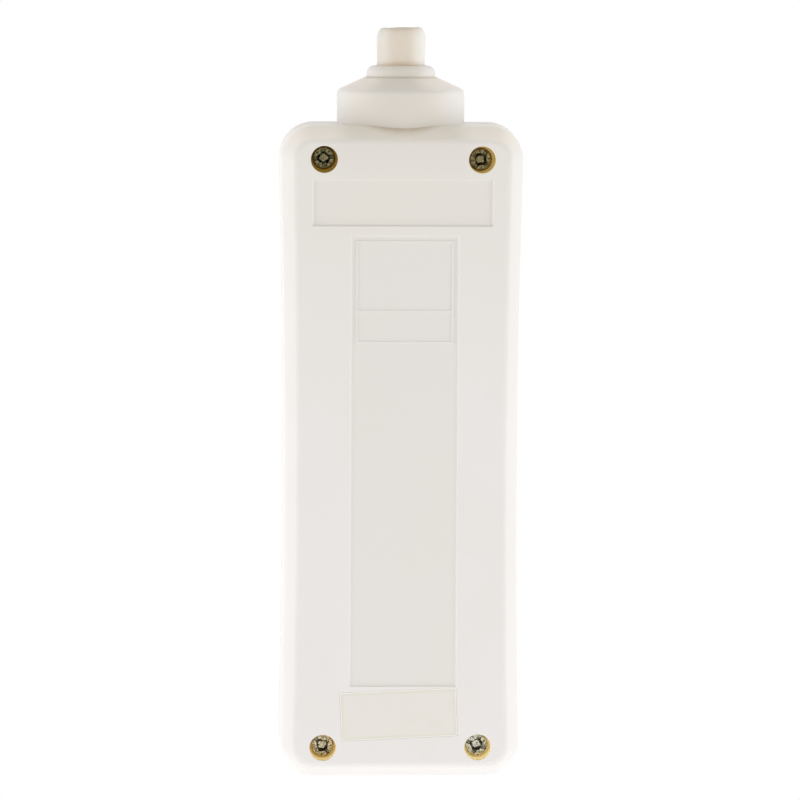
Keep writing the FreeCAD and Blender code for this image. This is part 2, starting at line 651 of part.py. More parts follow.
def contact_leaf(x, y, side):
    """One springy leaf of a contact: it leans in to grip a plug's pin and opens again at its mouth."""
    top = PLATE_BOTTOM - LEAF_HEAD_ROOM
    rise = top - BAR_BOTTOM
    profile = [
        (LEAF_FOOT, BAR_BOTTOM + STRIP / 2),
        (LEAF_FOOT, BAR_BOTTOM + rise * LEAF_BEND_SHARE),
        (LEAF_PINCH, BAR_BOTTOM + rise * LEAF_PINCH_SHARE),
        (LEAF_MOUTH, top),
    ]
    inner = [Vector(x + side * (dx - LEAF_THICKNESS), y - LEAF_WIDTH / 2, z) for dx, z in profile]
    outer = [Vector(x + side * dx, y - LEAF_WIDTH / 2, z) for dx, z in profile]
    loop = inner + outer[::-1] + inner[:1]
    return Part.Face(Part.makePolygon(loop)).extrude(Vector(0, LEAF_WIDTH, 0))


def live_bar(y):
    """A live bar: a flat strip, a pair of leaves at each socket and a bent-up tab in its terminal."""
    half = BAR_WIDTH / 2
    tab = TAB_WIDTH / 2
    pieces = [
        block(BAR_START + CARRIER_RIB, RISER_X + STRIP, y - half, y + half, BAR_BOTTOM, BAR_TOP),
        block(RISER_X, RISER_X + STRIP, y - tab, y + tab, BAR_BOTTOM, TAB_TOP),
        block(RISER_X, TERMINAL_STOP, y - tab, y + tab, TAB_BOTTOM, TAB_TOP),
    ]
    for x in SOCKETS:
        pieces += [contact_leaf(x, y, side) for side in (-1, 1)]
    return joined(pieces)


def earth_bar():
    """The earth bar: a strip along the carrier's groove with a hole for each earth pin and a tab."""
    half = EARTH_BAR_WIDTH / 2
    tab = TAB_WIDTH / 2
    start = SOCKETS[0] + EARTH_PIN_OFFSET - half
    pieces = [
        block(start, RISER_X + STRIP, -half, half, EARTH_BAR_BOTTOM, EARTH_BAR_TOP),
        block(RISER_X, RISER_X + STRIP, -tab, tab, TAB_BOTTOM, EARTH_BAR_TOP),
        block(RISER_X, TERMINAL_STOP, -tab, tab, TAB_BOTTOM, TAB_TOP),
    ]
    low = EARTH_BAR_BOTTOM - OVERCUT
    high = EARTH_BAR_TOP + OVERCUT
    holes = [post(x + EARTH_PIN_OFFSET, 0, low, high, RIVET_RADIUS + PILOT_GAP) for x in SOCKETS]
    return without(joined(pieces), holes)


def earth_pin(socket_x):
    """An earth pin that stands in a socket, riveted to the earth bar."""
    x = socket_x + EARTH_PIN_OFFSET
    top = WELL_TOP + EARTH_PIN_RISE
    collar_bottom = EARTH_BAR_TOP + PILOT_GAP
    rivet_top = EARTH_BAR_BOTTOM - PILOT_GAP
    pin = post(x, 0, WELL_TOP, top, EARTH_PIN_RADIUS)
    pin = rounded(pin, EARTH_PIN_TIP, at_level(top))
    pieces = [
        pin,
        post(x, 0, collar_bottom, WELL_TOP, EARTH_SHANK_RADIUS),
        post(x, 0, collar_bottom, WELL_UNDER - SLIDE_GAP, EARTH_COLLAR_RADIUS),
        post(x, 0, rivet_top - RIVET_HEAD_HEIGHT, collar_bottom, RIVET_RADIUS),
        post(x, 0, rivet_top - RIVET_HEAD_HEIGHT, rivet_top, RIVET_HEAD_RADIUS),
    ]
    return joined(pieces)


def shutter(x):
    """A shutter: two ramped arms under the contact holes, a web between them and a peg for the spring."""
    back = x - SHUTTER_ARM_LENGTH / 2
    front = x + SHUTTER_ARM_LENGTH / 2
    inner = CONTACT_Y - SHUTTER_ARM_WIDTH / 2
    outer = CONTACT_Y + SHUTTER_ARM_WIDTH / 2
    overlap = inner + OVERCUT
    middle = (SHUTTER_TOP + SHUTTER_BOTTOM) / 2
    pieces = [
        block(back, front, -outer, -inner, SHUTTER_BOTTOM, SHUTTER_TOP),
        block(back, front, inner, outer, SHUTTER_BOTTOM, SHUTTER_TOP),
        block(back, back + SHUTTER_WEB_LENGTH, -overlap, overlap, SHUTTER_BOTTOM, SHUTTER_TOP),
        Part.makeCylinder(PEG_RADIUS, PEG_LENGTH + OVERCUT, Vector(back - PEG_LENGTH, 0, middle), ALONG),
    ]
    side = outer + OVERCUT
    slope = [
        Vector(x - RAMP_START, -side, SHUTTER_TOP),
        Vector(front + OVERCUT, -side, SHUTTER_TOP),
        Vector(front + OVERCUT, -side, SHUTTER_TOP - RAMP_DROP),
        Vector(x - RAMP_START, -side, SHUTTER_TOP),
    ]
    ramp = Part.Face(Part.makePolygon(slope)).extrude(Vector(0, 2 * side, 0))
    return joined(pieces).cut(ramp)


def arc_towards(start, corner, end):
    """The arc that leaves start and reaches end along the two lines through corner."""
    middle = (start + end) / 2
    half = (end - start).Length / 2
    lift = corner - middle
    angle = math.atan2(lift.Length, half)
    return Part.Arc(start, middle + lift.normalize() * (half * math.tan(angle / 2)), end).toShape()


def spring_path(x0, x1, radius, turns, z):
    """A coil along X as pairs of arcs, each pair a quarter turn."""
    steps = 4 * turns
    pitch = (x1 - x0) / turns
    rise = pitch / (2 * math.pi * radius)

    def point(i):
        turn = math.pi / 2 * i
        return Vector(x0 + pitch * i / 4, radius * math.cos(turn), z + radius * math.sin(turn))

    def heading(i):
        turn = math.pi / 2 * i
        return Vector(rise, -math.sin(turn), math.cos(turn)).normalize()

    edges = []
    for i in range(steps):
        start, end = point(i), point(i + 1)
        out, back = heading(i), heading(i + 1)
        span = end - start
        both = out + back
        spare = 4 - both.dot(both)
        pull = span.dot(both)
        arm = (math.sqrt(pull ** 2 + spare * span.dot(span)) - pull) / spare
        first = start + out * arm
        second = end - back * arm
        meet = (first + second) / 2
        edges += [arc_towards(start, first, meet), arc_towards(meet, second, end)]
    return Part.Wire(edges), heading(0), point(0)


def shutter_spring(x):
    """The coil spring between a shutter and its seat in the housing."""
    end = x - SHUTTER_ARM_LENGTH / 2 - SPRING_GAP - SPRING_WIRE_RADIUS
    start = x - SHUTTER_ARM_LENGTH / 2 - SPRING_ROOM + SPRING_GAP + SPRING_WIRE_RADIUS
    middle = (SHUTTER_TOP + SHUTTER_BOTTOM) / 2
    path, heading, first = spring_path(start, end, SPRING_RADIUS, SPRING_TURNS, middle)
    ring = Part.Wire([Part.makeCircle(SPRING_WIRE_RADIUS, first, heading)])
    return Part.Solid(path.makePipeShell([ring], True, False))


def terminal(y):
    """A brass terminal block: a square wire way along it and a threaded hole underneath."""
    half = TERMINAL_WIDTH / 2
    way = WIRE_WAY_WIDTH / 2
    body = block(TERMINAL_START, TERMINAL_STOP, y - half, y + half, TERMINAL_BOTTOM, TERMINAL_TOP)
    start = TERMINAL_START - OVERCUT
    stop = TERMINAL_STOP + OVERCUT
    cuts = [
        block(start, stop, y - way, y + way, WIRE_WAY_BOTTOM, WIRE_WAY_TOP),
        post(TERMINAL_X, y, 0, WIRE_WAY_BOTTOM + OVERCUT, TERMINAL_SCREW_RADIUS + PILOT_GAP),
    ]
    return without(body, cuts)


def cord_clamp():
    """The bridge that presses the cable into the saddle, with a hollow pad in its middle."""
    half_x = CLAMP_LENGTH / 2
    half_y = CLAMP_WIDTH / 2
    bar = block(CLAMP_X - half_x, CLAMP_X + half_x, -half_y, half_y, CLAMP_BOTTOM, CLAMP_TOP)
    bar = rounded(bar, CLAMP_ROUND, lambda edge: edge.BoundBox.ZLength > CLAMP_THICKNESS / 2)
    pad_top = CLAMP_TOP + CLAMP_PAD_HEIGHT + CABLE_GAP
    half_pad = CLAMP_PAD_WIDTH / 2
    pad = block(CLAMP_X - half_x, CLAMP_X + half_x, -half_pad, half_pad, CLAMP_BOTTOM, pad_top)
    low = CLAMP_BOTTOM - OVERCUT
    high = CLAMP_TOP + OVERCUT
    cuts = [rod(CLAMP_X - half_x - OVERCUT, CLAMP_X + half_x + OVERCUT, CABLE_RADIUS)]
    cuts += [post(x, y, low, high, PASS_RADIUS) for x, y in clamp_screw_places()]
    return without(joined([bar, pad]), cuts)


def cord_sleeve():
    """The soft sleeve: a flange held in the neck's groove and a plain tube that stands out of the ring."""
    flange_start = FLANGE_BACK + FIT_GAP
    neck_exit = Vector(RING_END - RING_ROUND, 0, SPLIT_HEIGHT)
    flare = Part.makeCone(SLEEVE_ROOT_RADIUS, SLEEVE_RADIUS, SLEEVE_END - neck_exit.x, neck_exit, ALONG)
    pieces = [
        rod(SLEEVE_START, RING_END - RING_ROUND, SLEEVE_ROOT_RADIUS),
        rod(flange_start, flange_start + FLANGE_WIDTH, FLANGE_RADIUS),
        flare,
    ]
    sleeve = rounded(joined(pieces), SLEEVE_ROUND, at_station(SLEEVE_END, SLEEVE_RADIUS))
    return sleeve.cut(rod(SLEEVE_START - OVERCUT, SLEEVE_END + OVERCUT, SLEEVE_BORE))


def main():
    """Build every piece and write it."""
    os.makedirs("parts", exist_ok=True)
    save("rear_cover", rear_cover())
    save("socket_housing", socket_housing())
    save("contact_carrier", contact_carrier())
    save("line_bar", live_bar(-CONTACT_Y))
    save("neutral_bar", live_bar(CONTACT_Y))
    save("earth_bar", earth_bar())
    for number, x in enumerate(SOCKETS, 1):
        save("earth_pin_%d" % number, earth_pin(x))
        save("shutter_%d" % number, shutter(x))
        save("shutter_spring_%d" % number, shutter_spring(x))
    terminals = {"line_terminal": -CONTACT_Y, "neutral_terminal": CONTACT_Y, "earth_terminal": 0}
    for name, y in terminals.items():
        save(name, terminal(y))
    level = TERMINAL_BOTTOM - TERMINAL_STANDOFF
    reach = TERMINAL_FLOOR + TERMINAL_STANDOFF * 2
    terminal_screws = [slotted_screw(TERMINAL_X, y, level, reach) for y in terminals.values()]
    save("terminal_screws", Part.makeCompound(terminal_screws))
    save("cord_clamp", cord_clamp())
    save("cord_sleeve", cord_sleeve())
    save("rating_label", rating_label())
    case_screws = [
        cross_screw(x, y, COUNTERBORE_DEPTH, CASE_HEAD_RADIUS, CASE_HEAD_HEIGHT, CASE_SCREW_LENGTH)
        for x, y in case_screw_places()
    ]
    save("case_screws", Part.makeCompound(case_screws))
    carrier_screws = [
        cross_screw(x, y, PLATE_BOTTOM, SMALL_HEAD_RADIUS, SMALL_HEAD_HEIGHT, CARRIER_SCREW_LENGTH)
        for x, y in carrier_screw_places()
    ]
    save("carrier_screws", Part.makeCompound(carrier_screws))
    clamp_screws = [
        cross_screw(x, y, CLAMP_BOTTOM, SMALL_HEAD_RADIUS, SMALL_HEAD_HEIGHT, CLAMP_SCREW_LENGTH)
        for x, y in clamp_screw_places()
    ]
    save("clamp_screws", Part.makeCompound(clamp_screws))


main()
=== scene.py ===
"""Looks of a rewireable block of three earthed sockets, seen from its screwed underside."""

import json
import logging
import math
from dataclasses import dataclass, field
from enum import Enum
from typing import Any, Sequence, Union

import bmesh
import bpy
from mathutils import Matrix, Vector


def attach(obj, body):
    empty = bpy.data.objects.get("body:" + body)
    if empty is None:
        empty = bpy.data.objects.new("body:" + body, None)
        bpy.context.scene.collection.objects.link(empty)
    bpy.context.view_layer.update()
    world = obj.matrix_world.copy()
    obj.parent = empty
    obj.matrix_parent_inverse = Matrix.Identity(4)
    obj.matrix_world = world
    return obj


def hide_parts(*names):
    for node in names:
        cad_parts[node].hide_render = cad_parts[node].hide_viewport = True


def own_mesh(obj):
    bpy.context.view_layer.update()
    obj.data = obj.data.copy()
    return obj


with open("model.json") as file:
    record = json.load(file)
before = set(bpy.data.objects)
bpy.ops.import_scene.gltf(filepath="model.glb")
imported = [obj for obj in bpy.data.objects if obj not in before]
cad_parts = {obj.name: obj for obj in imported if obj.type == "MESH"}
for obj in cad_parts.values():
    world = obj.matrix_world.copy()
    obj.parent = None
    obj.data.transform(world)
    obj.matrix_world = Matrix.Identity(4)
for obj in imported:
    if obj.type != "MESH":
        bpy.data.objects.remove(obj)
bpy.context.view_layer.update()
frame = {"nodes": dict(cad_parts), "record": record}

MM = 0.001

Colour = tuple[float, float, float]
Point = tuple[float, float, float]
Span = tuple[float, float]
Value = Union["Signal", float, Sequence[float]]

FAR_END: Span = (0.0, -20.0)
RIGHT_SIDE: Span = (-10.0, 10.0)
TARNISHED: Span = (0.42, 0.68)

log = logging.getLogger("socket_block")


@dataclass(frozen=True)
class Signal:
    """A shader socket that takes part in Python arithmetic."""

    tree: bpy.types.NodeTree
    socket: bpy.types.NodeSocket

    def math(self, operation: str, *values: Value) -> "Signal":
        """Add one Math node.

        Args:
            operation: Blender's name for the operation.
            values: the operands, in order, this signal among them.

        Returns:
            The node's result.
        """
        settings = {"operation": operation}
        return Graph(self.tree).signal("ShaderNodeMath", settings, dict(enumerate(values)))

    def __add__(self, other: Value) -> "Signal":
        """This plus another."""
        return self.math("ADD", self, other)

    def __radd__(self, other: Value) -> "Signal":
        """Another plus this."""
        return self.math("ADD", other, self)

    def __sub__(self, other: Value) -> "Signal":
        """This less another."""
        return self.math("SUBTRACT", self, other)

    def __rsub__(self, other: Value) -> "Signal":
        """Another less this."""
        return self.math("SUBTRACT", other, self)

    def __mul__(self, other: Value) -> "Signal":
        """This times another."""
        return self.math("MULTIPLY", self, other)

    def __rmul__(self, other: Value) -> "Signal":
        """Another times this."""
        return self.math("MULTIPLY", other, self)

    def __truediv__(self, other: Value) -> "Signal":
        """This over another."""
        return self.math("DIVIDE", self, other)

    def __pow__(self, other: Value) -> "Signal":
        """This raised to a power."""
        return self.math("POWER", self, other)

    def __abs__(self) -> "Signal":
        """The size of this, without its sign."""
        return self.math("ABSOLUTE", self)

    def lower(self, other: Value) -> "Signal":
        """The smaller of this and another."""
        return self.math("MINIMUM", self, other)

    def higher(self, other: Value) -> "Signal":
        """The larger of this and another."""
        return self.math("MAXIMUM", self, other)

    def rise(self, low: float, high: float) -> "Signal":
        """A smooth step.

        Args:
            low: where the step leaves 0.
            high: where it reaches 1; below low, the step falls instead.

        Returns:
            The step's height, from 0 to 1.
        """
        settings = {"interpolation_type": "SMOOTHSTEP"}
        values = {0: self, 1: min(low, high), 2: max(low, high)}
        smooth = Graph(self.tree).signal("ShaderNodeMapRange", settings, values)
        return smooth if low < high else 1.0 - smooth

    def between(self, low: float, high: float) -> "Signal":
        """Stretch a 0 to 1 signal over another range."""
        return self * (high - low) + low


class Graph:
    """The nodes of one material, lamp or world."""

    def __init__(self, tree: bpy.types.NodeTree) -> None:
        """Start from a node tree."""
        self.tree = tree

    @classmethod
    def fresh(cls, owner: Union[bpy.types.Material, bpy.types.World]) -> "Graph":
        """Switch an owner to nodes and empty its tree.

        Args:
            owner: the material or world.

        Returns:
            Its nodes, none of them made yet.
        """
        owner.use_nodes = True
        owner.node_tree.nodes.clear()
        return cls(owner.node_tree)

    def node(
        self, kind: str, settings: dict[str, Any], values: dict[Union[int, str], Value]
    ) -> bpy.types.Node:
        """Add a node.

        Args:
            kind: the node's type.
            settings: its properties, set first.
            values: its sockets' values or links, by name or number.

        Returns:
            The new node.
        """
        node = self.tree.nodes.new(kind)
        for name, setting in settings.items():
            setattr(node, name, setting)
        for name, value in values.items():
            if isinstance(value, Signal):
                self.tree.links.new(value.socket, node.inputs[name])
            else:
                node.inputs[name].default_value = value
        return node

    def signal(
        self,
        kind: str,
        settings: dict[str, Any],
        values: dict[Union[int, str], Value],
        output: Union[int, str] = 0,
    ) -> Signal:
        """Add a node and take one of its outputs."""
        return Signal(self.tree, self.node(kind, settings, values).outputs[output])

    def place(self) -> Signal:
        """The point on the piece, in the row frame, in millimetres."""
        values = {0: self.signal("ShaderNodeTexCoord", {}, {}, "Object"), "Scale": 1 / MM}
        return self.signal("ShaderNodeVectorMath", {"operation": "SCALE"}, values)

    def parts(self, vector: Signal) -> tuple[Signal, Signal, Signal]:
        """Split a point into X, Y and Z."""
        split = self.node("ShaderNodeSeparateXYZ", {}, {0: vector})
        return tuple(Signal(self.tree, output) for output in split.outputs)

    def noise(
        self, place: Signal, size: float, detail: float, stretch: Point = (1, 1, 1)
    ) -> Signal:
        """A soft noise about 0 to 1.

        Args:
            place: the point, in millimetres.
            size: how large its features are, in millimetres.
            detail: how many finer layers it has.
            stretch: how many times denser it is along X, Y and Z.

        Returns:
            The noise's strength at the point.
        """
        settings = {"operation": "MULTIPLY"}
        stretched = self.signal("ShaderNodeVectorMath", settings, {0: place, 1: stretch})
        values = {"Vector": stretched, "Scale": 1 / size, "Detail": detail, "Roughness": 0.55}
        return self.signal("ShaderNodeTexNoise", {}, values)

    def blend(self, share: Value, first: Value, second: Value) -> Signal:
        """Mix two colours.

        Args:
            share: how much of the second shows, from 0 to 1.
            first: the colour at 0.
            second: the colour at 1.

        Returns:
            The mixed colour.
        """
        node = self.node("ShaderNodeMix", {"data_type": "RGBA"}, {0: share})
        for socket, colour in ((node.inputs[6], first), (node.inputs[7], second)):
            if isinstance(colour, Signal):
                self.tree.links.new(colour.socket, socket)
            else:
                socket.default_value = (*colour, 1.0)
        return Signal(self.tree, node.outputs[2])

    def bump(self, height: Signal, depth: float, under: Union[Signal, None] = None) -> Signal:
        """Turn a height from 0 to 1 into a normal.

        Args:
            height: the height signal.
            depth: how deep a height of 1 is, in millimetres.
            under: a normal from another bump, if there is one.

        Returns:
            The tilted normal.
        """
        values: dict[Union[int, str], Value] = {"Height": height, "Distance": depth * MM}
        values["Strength"] = 1.0
        if under is not None:
            values["Normal"] = under
        return self.signal("ShaderNodeBump", {}, values)


@dataclass(frozen=True)
class Patches:
    """Soft random patches: their size in millimetres and the noise that starts and fills them."""

    size: float
    detail: float
    span: Span
    share: float = 1.0
    stretch: Point = (1, 1, 1)

    def mask(self, graph: Graph, place: Signal) -> Signal:
        """How much of a patch shows at a point, from 0 to the patches' share."""
        noise = graph.noise(place, self.size, self.detail, self.stretch)
        return noise.rise(*self.span) * self.share


@dataclass(frozen=True)
class Grain:
    """One layer of relief, with the size and the depth of its features in millimetres."""

    size: float
    detail: float
    depth: float
    stretch: Point = (1, 1, 1)

    def over(self, graph: Graph, place: Signal, under: Union[Signal, None]) -> Signal:
        """Lay this grain over the normal of the one under it, if there is one."""
        return graph.bump(graph.noise(place, self.size, self.detail, self.stretch), self.depth, under)


@dataclass(frozen=True)
class Finish:
    """A procedural surface on one of the record's material slots."""

    name: str
    colour: Colour
    roughness: float
    metallic: float = 0.0
    specular: float = 0.5
    sheen: float = 0.0
    sheen_roughness: float = 0.45
    patches: Patches = Patches(14.0, 3.0, (0.3, 0.7))
    grains: tuple[Grain, ...] = (Grain(0.35, 2.0, 0.006),)

    def material(self) -> bpy.types.Material:
        """Build the material.

        Returns:
            The finished material, ready for a mesh.
        """
        made = bpy.data.materials.new(self.name)
        graph = Graph.fresh(made)
        place = graph.place()
        values: dict[Union[int, str], Value] = {
            "Base Color": self.tone(graph, place),
            "Roughness": self.gloss(graph, place),
            "Metallic": self.metallic,
            "Normal": self.relief(graph, place),
            "Specular IOR Level": self.specular,
            "Sheen Weight": self.sheen,
            "Sheen Roughness": self.sheen_roughness,
        }
        glow = self.glow(graph, place)
        if glow is not None:
            values.update({"Emission Color": glow, "Emission Strength": 1.0})
        shader = graph.signal("ShaderNodeBsdfPrincipled", {}, values)
        graph.node("ShaderNodeOutputMaterial", {}, {"Surface": shader})
        made.diffuse_color = (*self.colour, 1.0)
        return made

    def shaded(self, share: float) -> Colour:
        """The finish's colour, lighter or darker by a share."""
        return tuple(min(1.0, channel * share) for channel in self.colour)

    def tone(self, graph: Graph, place: Signal) -> Signal:
        """The colour over the surface: broad, faint patches."""
        return graph.blend(self.patches.mask(graph, place), self.shaded(0.985), self.shaded(1.01))

    def glow(self, graph: Graph, place: Signal) -> Union[Signal, None]:
        """Painted light: a glow standing in for light that comes through the material; most finishes
        have none.
        """
        return None

    def gloss(self, graph: Graph, place: Signal) -> Signal:
        """The roughness over the surface: small changes from place to place."""
        change = 0.04
        return graph.noise(place, 4.0, 3.0).between(self.roughness - change, self.roughness + change)

    def relief(self, graph: Graph, place: Signal) -> Union[Signal, None]:
        """Lay the surface's grains one over another.

        Args:
            graph: the material's nodes.
            place: the point, in millimetres.

        Returns:
            The tilted normal.
        """
        normal = None
        for grain in self.grains:
            normal = grain.over(graph, place, normal)
        return normal


@dataclass(frozen=True)
class Panel:
    """A rectangle sunk into the underside, given by its middle, its size and its depth."""

    x: float
    y: float
    length: float
    width: float
    depth: float
    blur: float = 0.1
    margin: float = 0.15
    floor_reach: Span = (0.4, 0.2)
    near_light: float = 0.5
    near_light_reach: Span = (0.34, 0.1)
    side_light_reach: Span = (0.6, 0.2)
    edge_shade_reach: Span = (0.6, 0.05)

    def shallow(self, z: Signal) -> Signal:
        """1 down to the panel's floor, fading to 0 just under it."""
        return z.rise(self.depth + self.floor_reach[0], self.depth + self.floor_reach[1])

    def mask(self, x: Signal, y: Signal, z: Signal) -> Signal:
        """Where the surface lies inside the panel.

        Args:
            x, y, z: the point, in millimetres.

        Returns:
            1 inside the panel and 0 elsewhere.
        """
        along = abs(x - self.x).rise(self.length / 2 + self.blur, self.length / 2 - self.blur)
        across = abs(y - self.y).rise(self.width / 2 + self.blur, self.width / 2 - self.blur)
        return along * across * z.rise(0.02, self.depth * 0.8) * self.shallow(z)

    def lit_rim(self, x: Signal, y: Signal, z: Signal) -> Signal:
        """Where painted light makes the panel's sides, and less its edge towards the neck, paler.

        Args:
            x, y, z: the point, in millimetres.

        Returns:
            1 where the painted light is strongest and 0 where there is none.
        """
        near = abs(x - self.x - self.length / 2).rise(*self.near_light_reach) * self.near_light
        sides = abs(abs(y - self.y) - self.width / 2).rise(*self.side_light_reach)
        inside = abs(x - self.x).rise(self.length / 2 + self.margin, self.length / 2)
        inside *= abs(y - self.y).rise(self.width / 2 + self.margin, self.width / 2)
        return near.higher(sides) * inside * self.shallow(z)

    def dust_and_shade(self, x: Signal, y: Signal, z: Signal) -> Signal:
        """Where painted shade darkens the panel's far edge.

        Args:
            x, y, z: the point, in millimetres.

        Returns:
            1 at the edge and 0 away from it.
        """
        far = abs(x - self.x + self.length / 2 - self.margin).rise(*self.edge_shade_reach)
        across = abs(y - self.y).rise(self.width / 2 + self.blur, self.width / 2)
        return far * across * z.rise(0.0, 0.1) * self.shallow(z)


@dataclass(frozen=True)
class NeckShade:
    """Painted shade in the hollow lines of the neck; a span runs from where it starts to where it is
    full.
    """

    collar_start: float
    ring_start: float
    line_reach: Span = (2.7, 0.0)
    line_width: Span = (11.0, 4.0)
    line_share: float = 0.6
    band_low: Span = (-0.1, 0.5)
    band_high: Span = (12.0, 8.0)
    band_width: Span = (17.0, 11.0)
    band_share: float = 0.28
    slope_x: Span = (60.5, 61.6)
    slope_off: Span = (0.0, 0.12)
    slope_end: Span = (0.9, 0.1)
    flat_x: Span = (50.0, 60.0)
    flat_z: Span = (0.5, 0.2)
    flat_width: Span = (22.0, 12.0)
    flat_share: float = 0.1
    foot_reach: Span = (0.5, 0.05)
    foot_share: float = 0.4
    foot_off: float = 0.05
    patch_size: float = 2.2
    patch_range: Span = (0.7, 1.2)

    def mask(self, graph: Graph, place: Signal, distance: Signal) -> Signal:
        """Find where shade is painted: under the collar, a little before it, and at the ring's foot.

        Args:
            graph: the material's nodes.
            place: the point, in millimetres.
            distance: how far it lies outside the collar's round.

        Returns:
            How much painted shade shows, from 0 to 1.
        """
        x, y, z = graph.parts(place)
        across = abs(y)
        line = distance.rise(*self.line_reach) * across.rise(*self.line_width) * self.line_share
        band = z.rise(*self.band_low) * across.rise(*self.band_width) * z.rise(*self.band_high)
        slope = distance.rise(*self.slope_off) * x.rise(*self.slope_x)
        slope *= x.rise(self.collar_start + self.slope_end[0], self.collar_start - self.slope_end[1])
        flat = x.rise(*self.flat_x) * z.rise(*self.flat_z) * across.rise(*self.flat_width)
        foot = abs(x - self.ring_start - self.foot_off).rise(*self.foot_reach)
        patches = graph.noise(place, self.patch_size, 3.0).between(*self.patch_range)
        held = ((line + band * self.band_share) * slope).higher(flat * self.flat_share)
        return (held.higher(foot * self.foot_share) * patches).lower(1.0)


@dataclass(frozen=True)
class CasePlastic(Finish):
    """White satin moulding over shallow waves with faint aged patches, darker and warmer towards the
    neck as painted shade, honey-coloured down the bores with painted shade and a painted glow, and with
    painted light and shade on the neck and along the panels.
    """

    # painted shade: the neck end is darker and warmer than this far-end colour, less so at the sides
    far: Colour = (0.824, 0.80, 0.78)
    neck_side: Colour = (0.80, 0.778, 0.75)
    neck_under_shade: Colour = (0.745, 0.70, 0.632)
    cone_side_light: Colour = (0.88, 0.82, 0.745)
    end_band_light: Colour = (0.90, 0.845, 0.765)
    aged: Colour = (0.77, 0.70, 0.60)
    painted_shade_tone: Colour = (0.50, 0.42, 0.29)
    long_panel: Panel = Panel(-12.5, 0.5, 105.2, 24.9, 0.2)
    long_tint: Colour = (0.785, 0.757, 0.72)
    long_light: float = 0.65
    mark_panel: Panel = Panel(47.65, 0.0, 10.7, 41.6, 0.3)
    mark_tint: Colour = (0.791, 0.761, 0.708)
    mark_light: float = 0.5
    # painted shade along the panels' far edges
    panel_edge_shade: float = 0.07
    # painted light: paler along the panels' sides and their edge towards the neck
    painted_light: Colour = (0.92, 0.90, 0.87)
    # painted light and shade in the counterbores: paler at the far end's mouth, darker deeper down and
    # at the neck's left
    bore_lit_mouth: Colour = (0.93, 0.89, 0.72)
    bore_wall: Colour = (0.95, 0.84, 0.51)
    bore_deep_shade: Colour = (0.94, 0.80, 0.42)
    bore_shade_tone: Colour = (0.58, 0.43, 0.12)
    # painted light: a glow from the counterbores' walls, dimmer at the neck's left, palest at the far
    # right
    bore_glow: Colour = (0.22, 0.15, 0.055)
    bore_glow_dark: Colour = (0.085, 0.05, 0.006)
    bore_glow_pale: Colour = (0.285, 0.225, 0.115)
    bore_pale_share: float = 0.8
    bore_x: Span = (57.6, -79.6)
    bore_y: float = 18.12
    bore_reach: float = 3.16
    bore_end: float = 5.6
    bore_mouth_depth: Span = (1.9, 0.0)
    bore_right_shade: float = 0.36
    axis_height: float = 18.0
    collar_radius: float = 14.9
    collar_start: float = 65.65
    cone_start: float = 73.05
    ring_start: float = 76.05
    neck_middle_y: float = -0.8
    under_lean: Span = (0.95, 0.5)
    under_end: float = 14.0
    cone_lean: Span = (0.2, 0.7)
    cone_fade: Span = (27.0, 18.5)
    neck_shade_span: Span = (-10.0, 62.0)
    side_shade_span: Span = (27.0, 23.0)
    side_share: float = 0.45
    end_low: Span = (0.1, 0.5)
    end_high: Span = (14.0, 6.0)
    end_x: Span = (58.0, 63.0)
    end_width: Span = (29.0, 24.0)
    collar_blur: Span = (0.1, 0.02)
    collar_x: Span = (60.0, 61.0)
    broad_gloss: Span = (-0.04, 0.05)
    fine_gloss: Span = (-0.02, 0.02)
    patches: Patches = Patches(30.0, 4.0, (0.35, 0.75), 0.14)
    specks: Patches = Patches(0.9, 2.0, (0.74, 0.82), 0.12)
    grains: tuple[Grain, ...] = (Grain(16.0, 1.0, 0.05), Grain(0.28, 2.0, 0.004))

    def bore_mask(self, x: Signal, y: Signal, z: Signal) -> Signal:
        """Where the surface lies inside a counterbore.

        Args:
            x, y, z: the point, in millimetres.

        Returns:
            1 inside a counterbore and 0 elsewhere.
        """
        across = abs(y) - self.bore_y
        along = abs(x - self.bore_x[0]).lower(abs(x - self.bore_x[1]))
        distance = (along * along + across * across) ** 0.5
        inside = distance.rise(self.bore_reach + 0.04, self.bore_reach)
        return inside * z.rise(0.02, 0.2) * z.rise(self.bore_end + 1.0, self.bore_end)

    def bore_tone(self, graph: Graph, x: Signal, y: Signal, z: Signal) -> Signal:
        """Colour the counterbores' walls: honey, paler at the far end's mouth as painted light, and
        darker deeper down and browner at the neck's left as painted shade.

        Args:
            graph: the material's nodes.
            x, y, z: the point, in millimetres.

        Returns:
            The walls' colour.
        """
        wall = graph.blend(z.rise(0.2, self.bore_end - 1.5), self.bore_wall, self.bore_deep_shade)
        mouth = z.rise(*self.bore_mouth_depth) * x.rise(*FAR_END)
        wall = graph.blend(mouth, wall, self.bore_lit_mouth)
        return graph.blend(self.bore_shading(x, y), wall, self.bore_shade_tone)

    def bore_shading(self, x: Signal, y: Signal) -> Signal:
        """How much painted shade a counterbore has: 1 at the neck's left, a little at its right, 0 at
        the far end.
        """
        return x.rise(-20.0, 20.0) * y.rise(20.0, -20.0).between(self.bore_right_shade, 1.0)

    def glow(self, graph: Graph, place: Signal) -> Signal:
        """Painted light: the counterbores' walls glow, standing in for daylight that comes through the
        plastic, most at the far right.

        Args:
            graph: the material's nodes.
            place: the point, in millimetres.

        Returns:
            The painted glow's colour, black outside the counterbores.
        """
        x, y, z = graph.parts(place)
        far_right = x.rise(*FAR_END) * y.rise(*RIGHT_SIDE)
        honey = graph.blend(self.bore_shading(x, y), self.bore_glow, self.bore_glow_dark)
        honey = graph.blend(far_right * self.bore_pale_share, honey, self.bore_glow_pale)
        return graph.blend(self.bore_mask(x, y, z) * z.rise(0.3, 2.4), (0.0, 0.0, 0.0), honey)

    def off_collar(self, y: Signal, z: Signal) -> Signal:
        """How far a point lies outside the collar's round, in millimetres."""
        down = z - self.axis_height
        return (y * y + down * down) ** 0.5 - self.collar_radius

